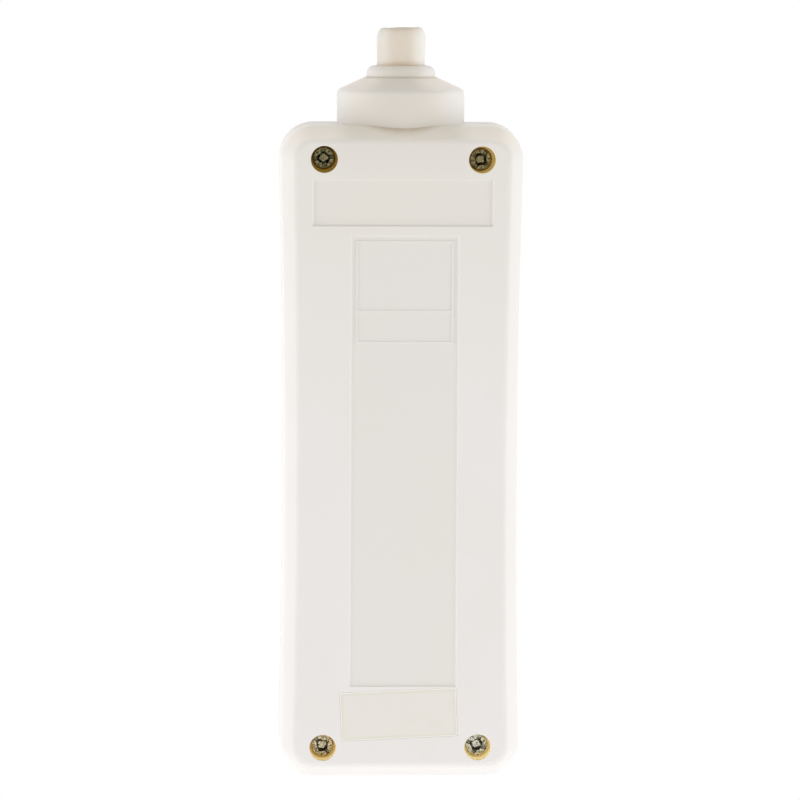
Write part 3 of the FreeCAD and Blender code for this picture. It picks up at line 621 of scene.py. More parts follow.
    def neck_tone(self, graph: Graph, y: Signal, z: Signal, cone: Signal) -> Signal:
        """Colour the neck: darker and browner underneath as painted shade, neutral at its sides, with
        painted light giving the cone warm, pale sides.

        Args:
            graph: the material's nodes.
            y, z: the point, in millimetres.
            cone: 1 on the cone and 0 elsewhere.

        Returns:
            The neck's colour.
        """
        lean = abs(y - self.neck_middle_y) / (self.off_collar(y, z) + self.collar_radius)
        # painted shade: darker and browner where the neck faces down
        under = lean.rise(*self.under_lean) * z.rise(self.axis_height, self.under_end)
        neck = graph.blend(under, self.neck_side, self.neck_under_shade)
        # painted light: paler, warmer sides on the cone
        side = cone * lean.rise(*self.cone_lean) * z.rise(*self.cone_fade)
        return graph.blend(side, neck, self.cone_side_light)

    def panel_tone(self, graph: Graph, body: Signal, x: Signal, y: Signal, z: Signal) -> Signal:
        """Paint light along the panels' sides and paint shade along their far edges.

        Args:
            graph: the material's nodes.
            body: the colour so far.
            x, y, z: the point, in millimetres.

        Returns:
            The new colour.
        """
        for panel, light_share in ((self.mark_panel, self.mark_light), (self.long_panel, self.long_light)):
            body = graph.blend(panel.lit_rim(x, y, z) * light_share, body, self.painted_light)
            body = graph.blend(panel.dust_and_shade(x, y, z) * self.panel_edge_shade, body, self.painted_shade_tone)
        return body

    def tone(self, graph: Graph, place: Signal) -> Signal:
        """White with faint aged patches, darker and warmer towards the neck as painted shade,
        honey-coloured down the counterbores, with painted light and shade on the neck, in its hollows
        and along the panels.

        Args:
            graph: the material's nodes.
            place: the point, in millimetres.

        Returns:
            The colour.
        """
        x, y, z = graph.parts(place)
        middle = abs(y).rise(*self.side_shade_span).between(self.side_share, 1.0)
        body = graph.blend(x.rise(*self.neck_shade_span) * middle, self.far, self.colour)
        # painted light: a paler end band beside the neck
        lit_end_band = z.rise(*self.end_low) * z.rise(*self.end_high)
        lit_end_band = lit_end_band * x.rise(*self.end_x) * abs(y).rise(*self.end_width)
        body = graph.blend(lit_end_band, body, self.end_band_light)
        cone = x.rise(self.cone_start - 0.1, self.cone_start + 0.4)
        cone *= x.rise(self.ring_start + 0.1, self.ring_start - 0.3)
        collar = self.off_collar(y, z).rise(*self.collar_blur) * x.rise(*self.collar_x)
        neck = x.rise(self.collar_start - 0.4, self.collar_start + 0.2).higher(collar)
        body = graph.blend(neck, body, self.neck_tone(graph, y, z, cone))
        body = graph.blend(self.long_panel.mask(x, y, z), body, self.long_tint)
        body = graph.blend(self.mark_panel.mask(x, y, z), body, self.mark_tint)
        for spots in (self.patches, self.specks):
            body = graph.blend(spots.mask(graph, place), body, self.aged)
        body = self.panel_tone(graph, body, x, y, z)
        # painted shade in the neck's hollow lines and beside the collar
        painted_shade = NeckShade(self.collar_start, self.ring_start).mask(graph, place, self.off_collar(y, z))
        body = graph.blend(painted_shade, body, self.painted_shade_tone)
        return graph.blend(self.bore_mask(x, y, z), body, self.bore_tone(graph, x, y, z))

    def gloss(self, graph: Graph, place: Signal) -> Signal:
        """Satin, a little rougher in broad patches.

        Args:
            graph: the material's nodes.
            place: the point, in millimetres.

        Returns:
            The roughness.
        """
        broad = graph.noise(place, 9.0, 3.0).between(*self.broad_gloss)
        fine = graph.noise(place, 0.6, 2.0).between(*self.fine_gloss)
        return broad + fine + self.roughness


@dataclass(frozen=True)
class SleeveRubber(Finish):
    """Soft cream rubber with a slack skin and dusty smears, with painted light on its right side,
    painted shade underneath, painted shade and dirt towards its root, and browner at its lip.
    """

    dust_and_shade: Colour = (0.60, 0.49, 0.35)
    # painted shade and dirt where the sleeve enters the ring
    root_shade_and_dirt: Colour = (0.60, 0.445, 0.26)
    # painted shade: darker and yellower underneath
    under: Colour = (0.76, 0.678, 0.575)
    # painted light: paler on the right side
    right_light: Colour = (0.84, 0.83, 0.79)
    root_x: float = 78.7
    lip_x: float = 87.65
    axis_height: float = 18.0
    under_width: Span = (5.2, 1.5)
    under_drop: float = 3.0
    pale_side: Span = (0.0, 4.5)
    pale_share: float = 0.8
    lip_reach: float = 1.2
    lip_share: float = 0.6
    root_reach: Span = (1.7, 0.1)
    patches: Patches = Patches(2.5, 3.0, (0.45, 0.8), 0.2, (0.4, 1, 1))
    grains: tuple[Grain, ...] = (Grain(3.0, 1.0, 0.05), Grain(0.25, 2.0, 0.008))

    def tone(self, graph: Graph, place: Signal) -> Signal:
        """Pale cream, paler on the right as painted light, darker and yellower underneath as painted
        shade, brown where it enters the ring as painted shade and dirt, browner at the lip, with dusty
        smears.

        Args:
            graph: the material's nodes.
            place: the point, in millimetres.

        Returns:
            The colour.
        """
        x, y, z = graph.parts(place)
        under = abs(y).rise(*self.under_width)
        under = under * z.rise(self.axis_height, self.axis_height - self.under_drop)
        body = graph.blend(y.rise(*self.pale_side) * self.pale_share, self.colour, self.right_light)
        body = graph.blend(under, body, self.under)
        lip = x.rise(self.lip_x - self.lip_reach, self.lip_x) * under.between(0.4, 1.0)
        smears = self.patches.mask(graph, place)
        body = graph.blend((lip * self.lip_share + smears).lower(1.0), body, self.dust_and_shade)
        root_shade_and_dirt = x.rise(self.root_x + self.root_reach[0], self.root_x - self.root_reach[1])
        return graph.blend(root_shade_and_dirt * under.between(0.3, 0.62), body, self.root_shade_and_dirt)


@dataclass(frozen=True)
class PlatedMetal(Finish):
    """Plated metal with tarnish in patches, pits and short scratches."""

    tarnish: Colour = (0.22, 0.19, 0.12)
    dulling: float = 0.3
    patches: Patches = Patches(1.2, 4.0, TARNISHED, 0.5)
    grains: tuple[Grain, ...] = (
        Grain(0.35, 3.0, 0.012), Grain(0.2, 1.0, 0.006, (0.15, 2.0, 1.0))
    )

    def tone(self, graph: Graph, place: Signal) -> Signal:
        """The plating's colour, with dull patches."""
        return graph.blend(self.patches.mask(graph, place), self.colour, self.tarnish)

    def gloss(self, graph: Graph, place: Signal) -> Signal:
        """Rougher where it has dulled."""
        return self.patches.mask(graph, place) * self.dulling + self.roughness


@dataclass(frozen=True)
class RolledStrip(PlatedMetal):
    """Metal strip or wire with its drawing lines along X."""

    grains: tuple[Grain, ...] = (Grain(0.5, 2.0, 0.01, (0.04, 2.0, 2.0)),)


@dataclass(frozen=True)
class ScrewPlate(PlatedMetal):
    """Old zinc plate of the case screws, tarnished in spots: painted light and shade make it dark olive
    at the neck and paler far away, with painted highlights far away and painted shade in the recess.
    """

    # painted light and shade: each corner's colour stands for how it is lit, dark olive at the neck,
    # pale far away
    neck_left: Colour = (0.20, 0.18, 0.09)
    neck_right: Colour = (0.22, 0.18, 0.075)
    far_left: Colour = (0.52, 0.45, 0.28)
    far_right: Colour = (0.53, 0.54, 0.46)
    # painted shade in the head's hollows, varied in patches
    painted_shade: Colour = (0.038, 0.033, 0.018)
    shade_share: float = 0.96
    dull: Patches = Patches(0.5, 2.0, (0.5, 0.6), 0.75)
    painted_glint: Colour = (0.85, 0.85, 0.76)
    glint_share: Span = (0.2, 0.8)
    painted_light: Patches = Patches(0.36, 1.0, (0.54, 0.64), stretch=(1.0, 1.0, 0.4))
    shade_gaps: Patches = Patches(0.45, 1.0, (0.34, 0.52))
    shade_gap_share: Span = (0.3, 1.15)

    def tone(self, graph: Graph, place: Signal) -> Signal:
        """Each corner's colour as painted light and shade, dull in tarnished spots, with painted
        highlights and with painted shade in the head's hollows.

        Args:
            graph: the material's nodes.
            place: the point, in millimetres.

        Returns:
            The colour.
        """
        x, y, _ = graph.parts(place)
        right = y.rise(*RIGHT_SIDE)
        near = graph.blend(right, self.neck_left, self.neck_right)
        distant = graph.blend(right, self.far_left, self.far_right)
        far_end = x.rise(20.0, -20.0)
        plate = graph.blend(far_end, near, distant)
        plate = graph.blend(self.dull.mask(graph, place), plate, self.tarnish)
        # painted highlights, strongest far away
        varied = self.painted_light.mask(graph, place) * far_end.between(*self.glint_share)
        plate = graph.blend(varied, plate, self.painted_glint)
        # painted shade, stored on the screws' points
        held = graph.signal("ShaderNodeAttribute", {"attribute_name": "painted_shade"}, {}, "Fac")
        patchy = self.shade_gaps.mask(graph, place).between(*self.shade_gap_share)
        return graph.blend((held * patchy).lower(1.0) * self.shade_share, plate, self.painted_shade)


@dataclass(frozen=True)
class LabelPaper(Finish):
    """Bare coated paper, yellowed along its border, with painted light along its cut edge."""

    fibre: Colour = (0.62, 0.56, 0.46)
    border: Colour = (0.70, 0.66, 0.52)
    # painted light along the paper's cut edge
    painted_edge_light: Colour = (0.95, 0.93, 0.87)
    middle: Span = (-71.7, -0.4)
    size: Span = (11.3, 27.0)
    turn: float = -2.5
    border_share: float = 0.35
    border_reach: Span = (1.1, 0.3)
    edge_light_reach: Span = (0.22, 0.08)
    fibres: Patches = Patches(0.5, 4.0, (0.45, 0.8), 0.12, (0.5, 1.6, 1.0))
    patches: Patches = Patches(5.0, 3.0, (0.5, 0.8), 0.1)
    grains: tuple[Grain, ...] = (Grain(3.5, 2.0, 0.03), Grain(0.3, 3.0, 0.004))

    def inside(self, graph: Graph, place: Signal) -> Signal:
        """Measure how far a point lies inside the paper's nearest edge.

        Args:
            graph: the material's nodes.
            place: the point, in millimetres.

        Returns:
            The distance, in millimetres.
        """
        x, y, _ = graph.parts(place)
        cos, sin = math.cos(math.radians(self.turn)), math.sin(math.radians(self.turn))
        along = (x - self.middle[0]) * cos + (y - self.middle[1]) * sin
        across = (y - self.middle[1]) * cos - (x - self.middle[0]) * sin
        return (self.size[0] / 2 - abs(along)).lower(self.size[1] / 2 - abs(across))

    def tone(self, graph: Graph, place: Signal) -> Signal:
        """Off-white with faint fibres and soft stains, olive at the border, with painted light making
        it pale at the cut.

        Args:
            graph: the material's nodes.
            place: the point, in millimetres.

        Returns:
            The colour.
        """
        stains = self.patches.mask(graph, place)
        paper = graph.blend(self.fibres.mask(graph, place) + stains, self.colour, self.fibre)
        inside = self.inside(graph, place)
        paper = graph.blend(inside.rise(*self.border_reach) * self.border_share, paper, self.border)
        return graph.blend(inside.rise(*self.edge_light_reach), paper, self.painted_edge_light)


@dataclass(frozen=True)
class Finishes:
    """Every finish of the block, one to a material slot."""

    case: CasePlastic = CasePlastic("case_plastic", (0.80, 0.768, 0.722), 0.55, specular=0.4)
    carrier: Finish = Finish("carrier_plastic", (0.62, 0.60, 0.55), 0.5)
    shutter: Finish = Finish("shutter_plastic", (0.68, 0.66, 0.62), 0.38)
    sleeve: SleeveRubber = SleeveRubber("sleeve_rubber", (0.762, 0.727, 0.655), 0.6, sheen=0.35)
    strip: RolledStrip = RolledStrip(
        "contact_brass", (0.78, 0.57, 0.27), 0.28, 1.0, tarnish=(0.40, 0.25, 0.09)
    )
    terminal: PlatedMetal = PlatedMetal(
        "terminal_brass", (0.72, 0.52, 0.25), 0.32, 1.0, tarnish=(0.38, 0.24, 0.10)
    )
    pin: PlatedMetal = PlatedMetal(
        "pin_nickel", (0.74, 0.71, 0.66), 0.2, 1.0, patches=Patches(3.0, 4.0, TARNISHED, 0.25)
    )
    zinc: PlatedMetal = PlatedMetal(
        "plated_steel", (0.62, 0.60, 0.50), 0.3, 1.0, patches=Patches(0.7, 4.0, TARNISHED, 0.7)
    )
    screw: ScrewPlate = ScrewPlate(
        "case_screw_plate", (0.5, 0.48, 0.36), 0.3, 1.0, tarnish=(0.085, 0.075, 0.04)
    )
    wire: RolledStrip = RolledStrip("spring_steel", (0.56, 0.56, 0.56), 0.3, 1.0)
    label: LabelPaper = LabelPaper("label_paper", (0.80, 0.765, 0.71), 0.55)

    def dress(self) -> dict[str, bpy.types.Material]:
        """Put each finish on every CAD node of its slot.

        Returns:
            The materials by slot.
        """
        slots = {part["node"]: part["material_slot"] for part in frame["record"]["subparts"]}
        made = {finish.name: finish.material() for finish in vars(self).values()}
        for name, node in frame["nodes"].items():
            node.data.materials.clear()
            node.data.materials.append(made[slots[name]])
            log.info("dressed %s in %s", name, slots[name])
        return made


def turns(count: int) -> list[float]:
    """Evenly spaced turns of a full circle, in radians."""
    return [2 * math.pi * index / count for index in range(count)]


def hoop(x: float, radius: float, height: float, count: int) -> list[Vector]:
    """Points of an upright circle round a line along X, in millimetres."""
    return [Vector((x, radius * math.cos(t), height + radius * math.sin(t))) for t in turns(count)]


def ring(centre: Point, radius: float, height: float, count: int) -> list[Vector]:
    """Points of a level circle, in millimetres."""
    x, y, _ = centre
    return [Vector((x + radius * math.cos(t), y + radius * math.sin(t), height)) for t in turns(count)]


def skin(
    name: str, rings: Sequence[Sequence[Vector]], sharp: float = 38.0, hollow: bool = False
) -> bpy.types.Object:
    """Close a skin over a row of rings.

    Args:
        name: the piece's name.
        rings: loops of as many points each, in millimetres.
        sharp: the angle in degrees from which an edge shades sharp.
        hollow: True where the last ring joins the first, as on a tube; else both are closed by a fan.

    Returns:
        The piece, in the row frame.
    """
    shape = bmesh.new()
    loops = [[shape.verts.new(point * MM) for point in loop] for loop in rings]
    followers = loops[1:] + loops[:1] if hollow else loops[1:]
    for first, second in zip(loops, followers):
        for a, b, c, d in zip(first, first[1:] + first[:1], second[1:] + second[:1], second):
            shape.faces.new((a, b, c, d))
    for loop in () if hollow else (loops[0], loops[-1]):
        middle = shape.verts.new(sum((vertex.co for vertex in loop), Vector()) / len(loop))
        for a, b in zip(loop, loop[1:] + loop[:1]):
            shape.faces.new((a, b, middle))
    bmesh.ops.recalc_face_normals(shape, faces=shape.faces)
    mesh = bpy.data.meshes.new(name)
    shape.to_mesh(mesh)
    shape.free()
    mesh.shade_smooth()
    mesh.set_sharp_from_angle(angle=math.radians(sharp))
    piece = bpy.data.objects.new(name, mesh)
    bpy.context.scene.collection.objects.link(piece)
    return piece


def fit(piece: bpy.types.Object, node: str, finish: bpy.types.Material) -> None:
    """Put a piece of the case in the place of a CAD node.

    Args:
        piece: the new piece.
        node: the node that it stands for.
        finish: the piece's material.
    """
    piece.data.materials.append(finish)
    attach(piece, "case")
    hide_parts(node)
    log.info("made %s", piece.name)


def step(value: float, low: float, high: float) -> float:
    """A smooth step from 0 at low to 1 at high."""
    share = min(1.0, max(0.0, (value - low) / (high - low)))
    return share * share * (3 - 2 * share)


def fall(value: float, edge: float, blur: float) -> float:
    """1 inside an edge, falling softly to 0 outside it."""
    return step(value, edge + blur, edge - blur)


@dataclass(frozen=True)
class ScrewSpot:
    """Where one case screw ended up: its place, how far it is turned and how its head sits."""

    name: str
    x: float
    y: float
    turn: float
    off_x: float = 0.0
    off_y: float = 0.0


@dataclass
class CaseScrews:
    """The four self-tapping screws of the rear cover, with worn heads for a flat or a cross driver."""

    spots: tuple[ScrewSpot, ...] = (
        ScrewSpot("case_screw_neck_left", 57.6, -18.12, 6.3, 0.22, -0.08),
        ScrewSpot("case_screw_neck_right", 57.6, 18.12, 53.0, -0.05, -0.22),
        ScrewSpot("case_screw_far_left", -79.6, -18.12, -48.0, -0.12, -0.07),
        ScrewSpot("case_screw_far_right", -79.6, 18.12, -20.5, -0.05, -0.1),
    )
    face: float = 3.4
    seat: float = 5.6
    end: float = 23.6
    head_radius: float = 2.68
    head_round: float = 0.5
    head_edge: float = 0.12
    crown: float = 0.12
    shank_radius: float = 1.45
    tip_share: float = 0.25
    slot_width: float = 0.8
    slot_reach: float = 2.38
    slot_depth: float = 0.5
    wing_width: float = 0.95
    wing_reach: float = 1.95
    wing_depth: float = 0.9
    wing_fade: float = 0.5
    mouth: float = 1.7
    floor: float = 1.02
    squareness: float = 1.22
    socket_depth: float = 1.2
    unevenness: float = 0.062
    wear_start: float = 1.3
    wear_step: float = 1.9
    wear_turn: float = 0.0
    tick_turn: float = 45.0
    tick_radii: Span = (1.75, 2.2)
    tick_width: float = 0.2
    tick_depth: float = 0.12
    blur: float = 0.07
    tick_blur: float = 0.04
    wall_reach: Span = (0.08, 0.12)
    wall_depth: float = 0.12
    side_width: float = 0.14
    recess_reach: float = 0.25
    # how much painted shade each hollow of the head gets
    tick_shade: float = 5.0
    slot_shade: float = 0.62
    side_shade: float = 0.75
    shank_shade: float = 0.8
    middle_shade: float = 0.1
    around: int = 180
    across: int = 60
    ring_spread: float = 0.8
    held: list[float] = field(default_factory=list)

    def shapes(self, u: float, v: float) -> list[float]:
        """The depths of slot, wings, socket and tick at a point of the head.

        Args:
            u: distance along the slot from the head's middle, in millimetres.
            v: distance across it.

        Returns:
            The four depths, in millimetres.
        """
        mouth, floor = self.varied(u, v, self.mouth), self.varied(u, v, self.floor)
        u, v = abs(u), abs(v)
        slot = fall(v, self.slot_width / 2, self.blur) * fall(u, self.slot_reach, self.blur)
        wing = fall(u, self.wing_width / 2, self.blur) * fall(v, self.wing_reach, self.blur)
        wing *= 1.0 - self.wing_fade * min(1.0, v / self.wing_reach)
        socket = min(1.0, max(0.0, (mouth - self.reach(u, v)) / (mouth - floor)))
        depths = (slot * self.slot_depth, wing * self.wing_depth, socket * self.socket_depth)
        return [*depths, self.tick(u, v)]

    def reach(self, u: float, v: float) -> float:
        """How far out a point lies, measured by the socket's squarish outline."""
        return (abs(u) ** self.squareness + abs(v) ** self.squareness) ** (1 / self.squareness)

    def varied(self, u: float, v: float, size: float) -> float:
        """The size of the socket's outline on the way to a point, made uneven by slipped drivers.

        Args:
            u: distance along the slot from the head's middle, in millimetres.
            v: distance across it.
            size: the outline's even size.

        Returns:
            The outline's size there, in millimetres.
        """
        turn, phase = math.atan2(v, u), self.wear_turn * size
        wave = math.sin(2 * turn + phase) + math.sin(3 * turn + 2 * phase)
        wave += 0.8 * math.sin(5 * turn + 3 * phase)
        return size * (1 + self.unevenness * wave)

    def painted_shade(self, u: float, v: float) -> float:
        """How much painted shade the head holds at a point: full on the socket's walls and in the
        wings.

        Args:
            u: distance along the slot from the head's middle, in millimetres.
            v: distance across it.

        Returns:
            The painted shade, from 0 on the face to 1.
        """
        radius = math.hypot(u, v)
        slot, wing, socket, tick = self.shapes(u, v)
        floor = self.varied(u, v, self.floor)
        inner, outer = self.wall_reach
        wall = step(self.reach(u, v), floor - inner, floor + outer)
        wall *= step(socket, 0.0, self.wall_depth)
        side = step(radius, self.head_radius - self.side_width, self.head_radius)
        recess = max(wing / self.wing_depth, self.slot_shade * slot / self.slot_depth)
        recess *= step(radius, self.floor, self.floor + self.recess_reach)
        return min(1.0, max(recess, wall, self.tick_shade * tick, self.side_shade * side))

    def tick(self, u: float, v: float) -> float:
        """How deep the small mark between slot and wing is at a point of the head's quarter.

        Args:
            u: distance along the slot from the head's middle, in millimetres, without its sign.
            v: distance across it, without its sign.

        Returns:
            The depth, in millimetres.
        """
        radius = math.hypot(u, v)
        first, last = self.tick_radii
        along = step(radius, first - self.tick_blur, first + self.tick_blur)
        along *= fall(radius, last, self.tick_blur)
        off = radius * abs(math.atan2(v, u) - math.radians(self.tick_turn))
        return self.tick_depth * along * fall(off, self.tick_width / 2, self.tick_blur)

    def face_height(self, radius: float) -> float:
        """How far the domed face has fallen back.

        Args:
            radius: the distance from the head's middle, in millimetres.

        Returns:
            The fall, in millimetres.
        """
        crown = self.crown * (radius / self.head_radius) ** 2
        run = max(0.0, (radius - self.head_radius + self.head_round) / self.head_round)
        return crown + self.head_round * (1 - math.sqrt(max(0.0, 1 - run * run)))

    def rings(self, spot: ScrewSpot) -> list[list[Vector]]:
        """Make the screw's rings and note the painted shade on its head.

        Args:
            spot: the screw's place and turn.

        Returns:
            The rings, from the middle of the face to the tip.
        """
        centre = (spot.x + spot.off_x, spot.y + spot.off_y, 0.0)
        along = (math.sin(math.radians(spot.turn)), math.cos(math.radians(spot.turn)))
        rings = []
        self.held = []
        for index in range(1, self.across + 1):
            share = math.sin(index / self.across * math.pi / 2) ** self.ring_spread
            radius = self.head_radius * share
            loop = ring(centre, radius, self.face + self.face_height(radius), self.around)
            for point in loop:
                du, dv = point.x - centre[0], point.y - centre[1]
                spot_uv = (du * along[0] + dv * along[1], du * along[1] - dv * along[0])
                point.z += max(self.shapes(*spot_uv))
                self.held.append(self.painted_shade(*spot_uv))
            rings.append(loop)
        profile = [
            (self.head_radius, self.seat - self.head_edge),
            (self.head_radius - self.head_edge, self.seat),
            (self.shank_radius, self.seat),
            (self.shank_radius, self.end - self.shank_radius),
            (self.shank_radius * self.tip_share, self.end),
        ]
        return rings + [ring(centre, radius, height, self.around) for radius, height in profile]

    def build(self, metal: bpy.types.Material) -> None:
        """Make the screws in place of the plain ones.

        Args:
            metal: the plating's material.
        """
        for number, spot in enumerate(self.spots):
            self.wear_turn = self.wear_start + self.wear_step * number
            screw = skin(spot.name, self.rings(spot))
            shank = [self.shank_shade] * (len(screw.data.vertices) - len(self.held) - 2)
            values = self.held + shank + [self.middle_shade, self.shank_shade]
            screw.data.attributes.new("painted_shade", "FLOAT", "POINT").data.foreach_set("value", values)
            fit(screw, "case_screws", metal)


@dataclass
class CordSleeve:
    """The soft sleeve: a flange held inside the neck, and a thick tube with a rolled, uneven lip."""

    height: float = 18.0
    start: float = 67.8
    flange: Span = (71.5, 73.7)
    flange_radius: float = 8.6
    root_radius: float = 5.45
    radius: float = 5.66
    bore: float = 4.3
    exit: float = 76.5
    bead: Span = (77.6, 78.6)
    bead_radius: float = 5.82
    bead_foot: Span = (0.4, 0.05)
    bead_heel: Span = (0.35, 0.08)
    swell_shares: tuple[float, ...] = (0.45, 0.6, 0.8)
    swell_power: float = 0.6
    end: float = 87.65
    lip_length: float = 2.8
    lip_width: float = 1.33
    lip_steps: int = 12
    mouth_depth: Span = (0.08, 0.25)
    mouth_round: float = 0.02
    soft: float = 0.12
    held_length: float = 2.5
    tilt: float = 0.28
    lean: float = 0.4
    ripple: float = 0.1
    slack: float = 0.008
    slack_turn: float = 0.7
    around: int = 96

    def profile(self) -> list[Span]:
        """Draw the sleeve's section, round the flange and over the lip.

        Returns:
            The section's points: X and radius, in millimetres.
        """
        first, last = self.flange
        outside = [
            (self.start, self.bore + self.soft),
            (self.start, self.root_radius - self.soft),
            (self.start + self.soft, self.root_radius),
            (first, self.root_radius),
            (first, self.flange_radius - self.soft),
            (first + self.soft, self.flange_radius),
            (last - self.soft, self.flange_radius),
            (last, self.flange_radius - self.soft),
            (last, self.root_radius),
            (self.exit, self.root_radius),
            (self.bead[0] - self.bead_foot[0], self.root_radius + self.bead_foot[1]),
            (self.bead[0], self.bead_radius),
            (self.bead[1], self.bead_radius),
            (self.bead[1] + self.bead_heel[0], self.radius - self.bead_heel[1]),
        ]
        run, swell = self.end - self.lip_length - self.exit, self.radius - self.root_radius
        for share in self.swell_shares:
            radius = self.root_radius + swell * share ** self.swell_power
            outside.append((self.exit + run * share, radius))
        for index in range(self.lip_steps + 1):
            turn = math.pi / 2 * index / self.lip_steps
            outside.append((
                self.end - self.lip_length * (1 - math.sin(turn)),
                self.radius - self.lip_width * (1 - math.cos(turn)),
            ))
        return outside + [
            (self.end - self.mouth_depth[0], self.bore + self.mouth_round),
            (self.end - self.mouth_depth[1], self.bore),
            (self.exit, self.bore),
            (self.start + self.soft, self.bore),
        ]

    def rings(self) -> list[list[Vector]]:
        """Turn the section into rings, a little out of round where the sleeve stands free.

        Returns:
            The rings, with the lip's tilt.
        """
        rings = []
        for x, radius in self.profile():
            loop = hoop(x, radius, self.height, self.around)
            free = step(x, self.exit + self.held_length, self.end)
            for point in loop:
                turn = math.atan2(point.z - self.height, point.y)
                give = 1 + self.slack * free * math.sin(3 * turn + self.slack_turn)
                dip = 0.5 - self.lean * math.cos(turn) - self.ripple * math.sin(5 * turn)
                point.x -= self.tilt * free * dip
                point.y *= give
                point.z = self.height + (point.z - self.height) * give
            rings.append(loop)
        return rings

    def build(self, rubber: bpy.types.Material) -> None:
        """Make the sleeve in place of the plain one.

        Args:
            rubber: the sleeve's material.
        """
        sleeve = skin("soft_sleeve", self.rings(), 50.0, hollow=True)
        fit(sleeve, "cord_sleeve", rubber)


@dataclass
class ClosingSprings:
    """The coil springs that push the three shutters closed; here they keep one length and don't shorten
    as the shutters open.
    """

    sockets: tuple[float, ...] = (-62.5, -20.0, 22.5)
    coil_start: float = -15.72
    coil_end: float = -3.48
    height: float = 21.25
    coil_radius: float = 0.88
    wire_radius: float = 0.16
    coils: int = 14
    travel: float = 6.2
    steps: int = 24
    around: int = 10

    def rings(self, socket: float) -> list[list[Vector]]:
        """One spring's rings along its wire.

        Args:
            socket: the X of the socket's middle, in millimetres.

        Returns:
            The rings, from the fixed end to the shutter.
        """
        length, count = self.coil_end - self.coil_start, self.steps * self.coils
        climb = length / self.coils / (2 * math.pi * self.coil_radius)
        rings = []
        for index in range(count + 1):
            turn = 2 * math.pi * index / self.steps
            out = Vector((0, math.cos(turn), math.sin(turn)))
            heading = Vector((climb, -math.sin(turn), math.cos(turn))).normalized()
            beside = heading.cross(out)
            x = socket + self.coil_start + length * index / count
            centre = Vector((x, 0, self.height)) + out * self.coil_radius
            spokes = [out * math.cos(t) + beside * math.sin(t) for t in turns(self.around)]
            rings.append([centre + spoke * self.wire_radius for spoke in spokes])
        return rings

    def build(self, steel: bpy.types.Material) -> None:
        """Make the springs in place of the stiff ones.

        Args:
            steel: the wire's material.
        """
        for number, socket in enumerate(self.sockets, 1):
            spring = skin(f"closing_spring_{number}", self.rings(socket), 60.0)
            fit(spring, f"shutter_spring_{number}", steel)
            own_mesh(spring)


@dataclass
class Lamp:
    """A soft rectangular lamp that faces a point of the block."""

    name: str
    place: Point
    aim: Point
    size: Span
    power: float

    def build(self) -> None:
        """Make the lamp and turn it to its aim."""
        data = bpy.data.lights.new(self.name, "AREA")
        data.shape = "RECTANGLE"
        data.size, data.size_y = self.size
        data.energy = self.power
        lamp = bpy.data.objects.new(self.name, data)
        lamp.location = self.place
        towards = Vector(self.aim) - Vector(self.place)
        lamp.rotation_euler = towards.to_track_quat("-Z", "Y").to_euler()
        lamp.visible_camera = False
        bpy.context.scene.collection.objects.link(lamp)


class Ray(Enum):
    """The kinds of ray that see the white surroundings."""

    CAMERA = "Is Camera Ray"
    GLOSSY = "Is Glossy Ray"
    TRANSMISSION = "Is Transmission Ray"


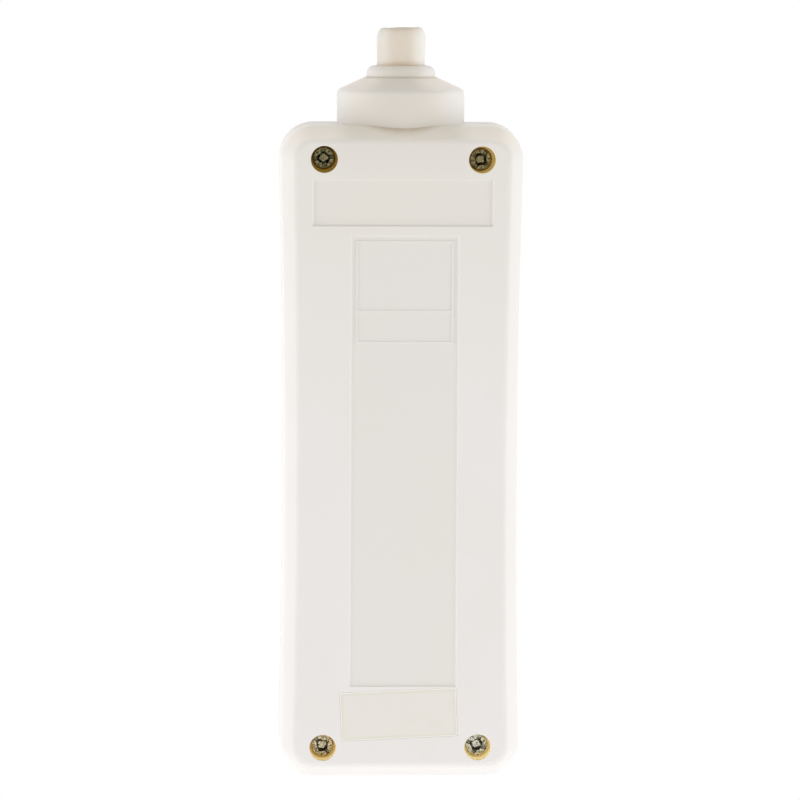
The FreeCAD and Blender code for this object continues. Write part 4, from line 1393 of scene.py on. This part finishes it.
@dataclass
class Studio:
    """White surroundings, a floor that shows from above only, and soft lamps on both sides of it."""

    floor_drop: float = 0.0003
    floor_radius: float = 1.1
    floor_solid: float = 0.35
    floor_colour: Colour = (0.80, 0.80, 0.80)
    floor_roughness: float = 0.7
    floor_sides: int = 96
    ambient: float = 0.69
    lamps: list[Lamp] = field(default_factory=lambda: [
        Lamp("left_low", (-0.05, -0.75, -0.22), (0, 0, 0.01), (0.7, 0.3), 2.5),
        Lamp("right_low", (-0.05, 0.75, -0.22), (0, 0, 0.01), (0.7, 0.3), 2.65),
        Lamp("far_low", (-0.85, 0.0, -0.12), (0, 0, 0.01), (0.6, 0.2), 2.0),
        Lamp("far_high", (-0.6, 0.0, -0.6), (0, 0, 0), (0.5, 0.5), 0.45),
        Lamp("above_key", (-0.45, -0.55, 0.75), (0, 0, 0.02), (0.5, 0.5), 0.75),
        Lamp("above_fill", (0.55, 0.45, 0.6), (0, 0, 0.02), (0.7, 0.7), 0.35),
        Lamp("above_top", (0.0, 0.0, 1.0), (0, 0, 0.02), (0.5, 0.5), 1.5),
    ])

    def build(self) -> None:
        """Make the world, the floor and the lamps."""
        self.build_world()
        self.build_floor()
        for lamp in self.lamps:
            lamp.build()

    @staticmethod
    def rays(graph: Graph, *kinds: Ray) -> Signal:
        """Tell kinds of ray apart.

        Args:
            graph: the nodes to add to.
            kinds: the kinds of ray to pick.

        Returns:
            1 for the picked kinds and 0 for the others.
        """
        path = graph.node("ShaderNodeLightPath", {}, {})
        shares = [Signal(graph.tree, path.outputs[kind.value]) for kind in kinds]
        chosen = shares[0]
        for share in shares[1:]:
            chosen = chosen.higher(share)
        return chosen

    def build_world(self) -> None:
        """White where it shows, dimmer as light."""
        world = bpy.data.worlds.new("studio")
        graph = Graph.fresh(world)
        strength = self.rays(graph, Ray.CAMERA, Ray.GLOSSY, Ray.TRANSMISSION).between(self.ambient, 1.0)
        values = {"Color": (1.0, 1.0, 1.0, 1.0), "Strength": strength}
        background = graph.signal("ShaderNodeBackground", {}, values)
        graph.node("ShaderNodeOutputWorld", {}, {"Surface": background})
        bpy.context.scene.world = world

    def build_floor(self) -> None:
        """A disc that fades into the white, open to light and to a view from below."""
        mesh = bpy.data.meshes.new("floor")
        shape = bmesh.new()
        sides = self.floor_sides
        bmesh.ops.create_circle(shape, cap_ends=True, segments=sides, radius=self.floor_radius)
        for vertex in shape.verts:
            vertex.co.z = -self.floor_drop
        shape.to_mesh(mesh)
        shape.free()
        floor = bpy.data.objects.new("floor", mesh)
        bpy.context.scene.collection.objects.link(floor)
        made = bpy.data.materials.new("pale_floor")
        graph = Graph.fresh(made)
        x, y, _ = graph.parts(graph.place())
        distance = (x * x + y * y) ** 0.5
        fade = distance.rise(self.floor_radius / MM, self.floor_solid / MM)
        backfacing = graph.signal("ShaderNodeNewGeometry", {}, {}, "Backfacing")
        share = self.rays(graph, Ray.CAMERA) * (1.0 - backfacing) * fade
        open_air = graph.signal("ShaderNodeBsdfTransparent", {}, {})
        values = {"Base Color": (*self.floor_colour, 1.0), "Roughness": self.floor_roughness}
        solid = graph.signal("ShaderNodeBsdfPrincipled", {}, values)
        surface = graph.signal("ShaderNodeMixShader", {}, {0: share, 1: open_air, 2: solid})
        graph.node("ShaderNodeOutputMaterial", {}, {"Surface": surface})
        mesh.materials.append(made)
        log.info("laid the floor")


@dataclass
class PhotoCamera:
    """The photograph's camera, below the block and a little towards its neck."""

    place: Point = (0.0956, -0.033, -0.7945)
    aim: Point = (0.0022, -0.0005, 0.0)
    lens: float = 156.06
    sensor: float = 36.0
    roll: float = 0.32
    clip: Span = (0.01, 20.0)

    def build(self) -> None:
        """Make the camera with the neck at the top of the picture."""
        data = bpy.data.cameras.new("photo_camera")
        data.lens = self.lens
        data.sensor_width = self.sensor
        data.clip_start, data.clip_end = self.clip
        camera = bpy.data.objects.new("photo_camera", data)
        forward = (Vector(self.aim) - Vector(self.place)).normalized()
        right = forward.cross(Vector((1, 0, 0))).normalized()
        upward = right.cross(forward)
        turn = Matrix((right, upward, -forward)).transposed()
        roll = Matrix.Rotation(math.radians(self.roll), 3, "Z")
        camera.matrix_world = Matrix.Translation(self.place) @ (turn @ roll).to_4x4()
        bpy.context.scene.collection.objects.link(camera)
        bpy.context.scene.camera = camera


def main() -> None:
    """Dress the block, then light it and set up the camera."""
    logging.basicConfig(level=logging.INFO, format="%(message)s")
    materials = Finishes().dress()
    CaseScrews().build(materials["case_screw_plate"])
    CordSleeve().build(materials["sleeve_rubber"])
    ClosingSprings().build(materials["spring_steel"])
    Studio().build()
    PhotoCamera().build()
    bpy.context.scene.view_settings.view_transform = "Standard"


if __name__ == "__main__":
    main()
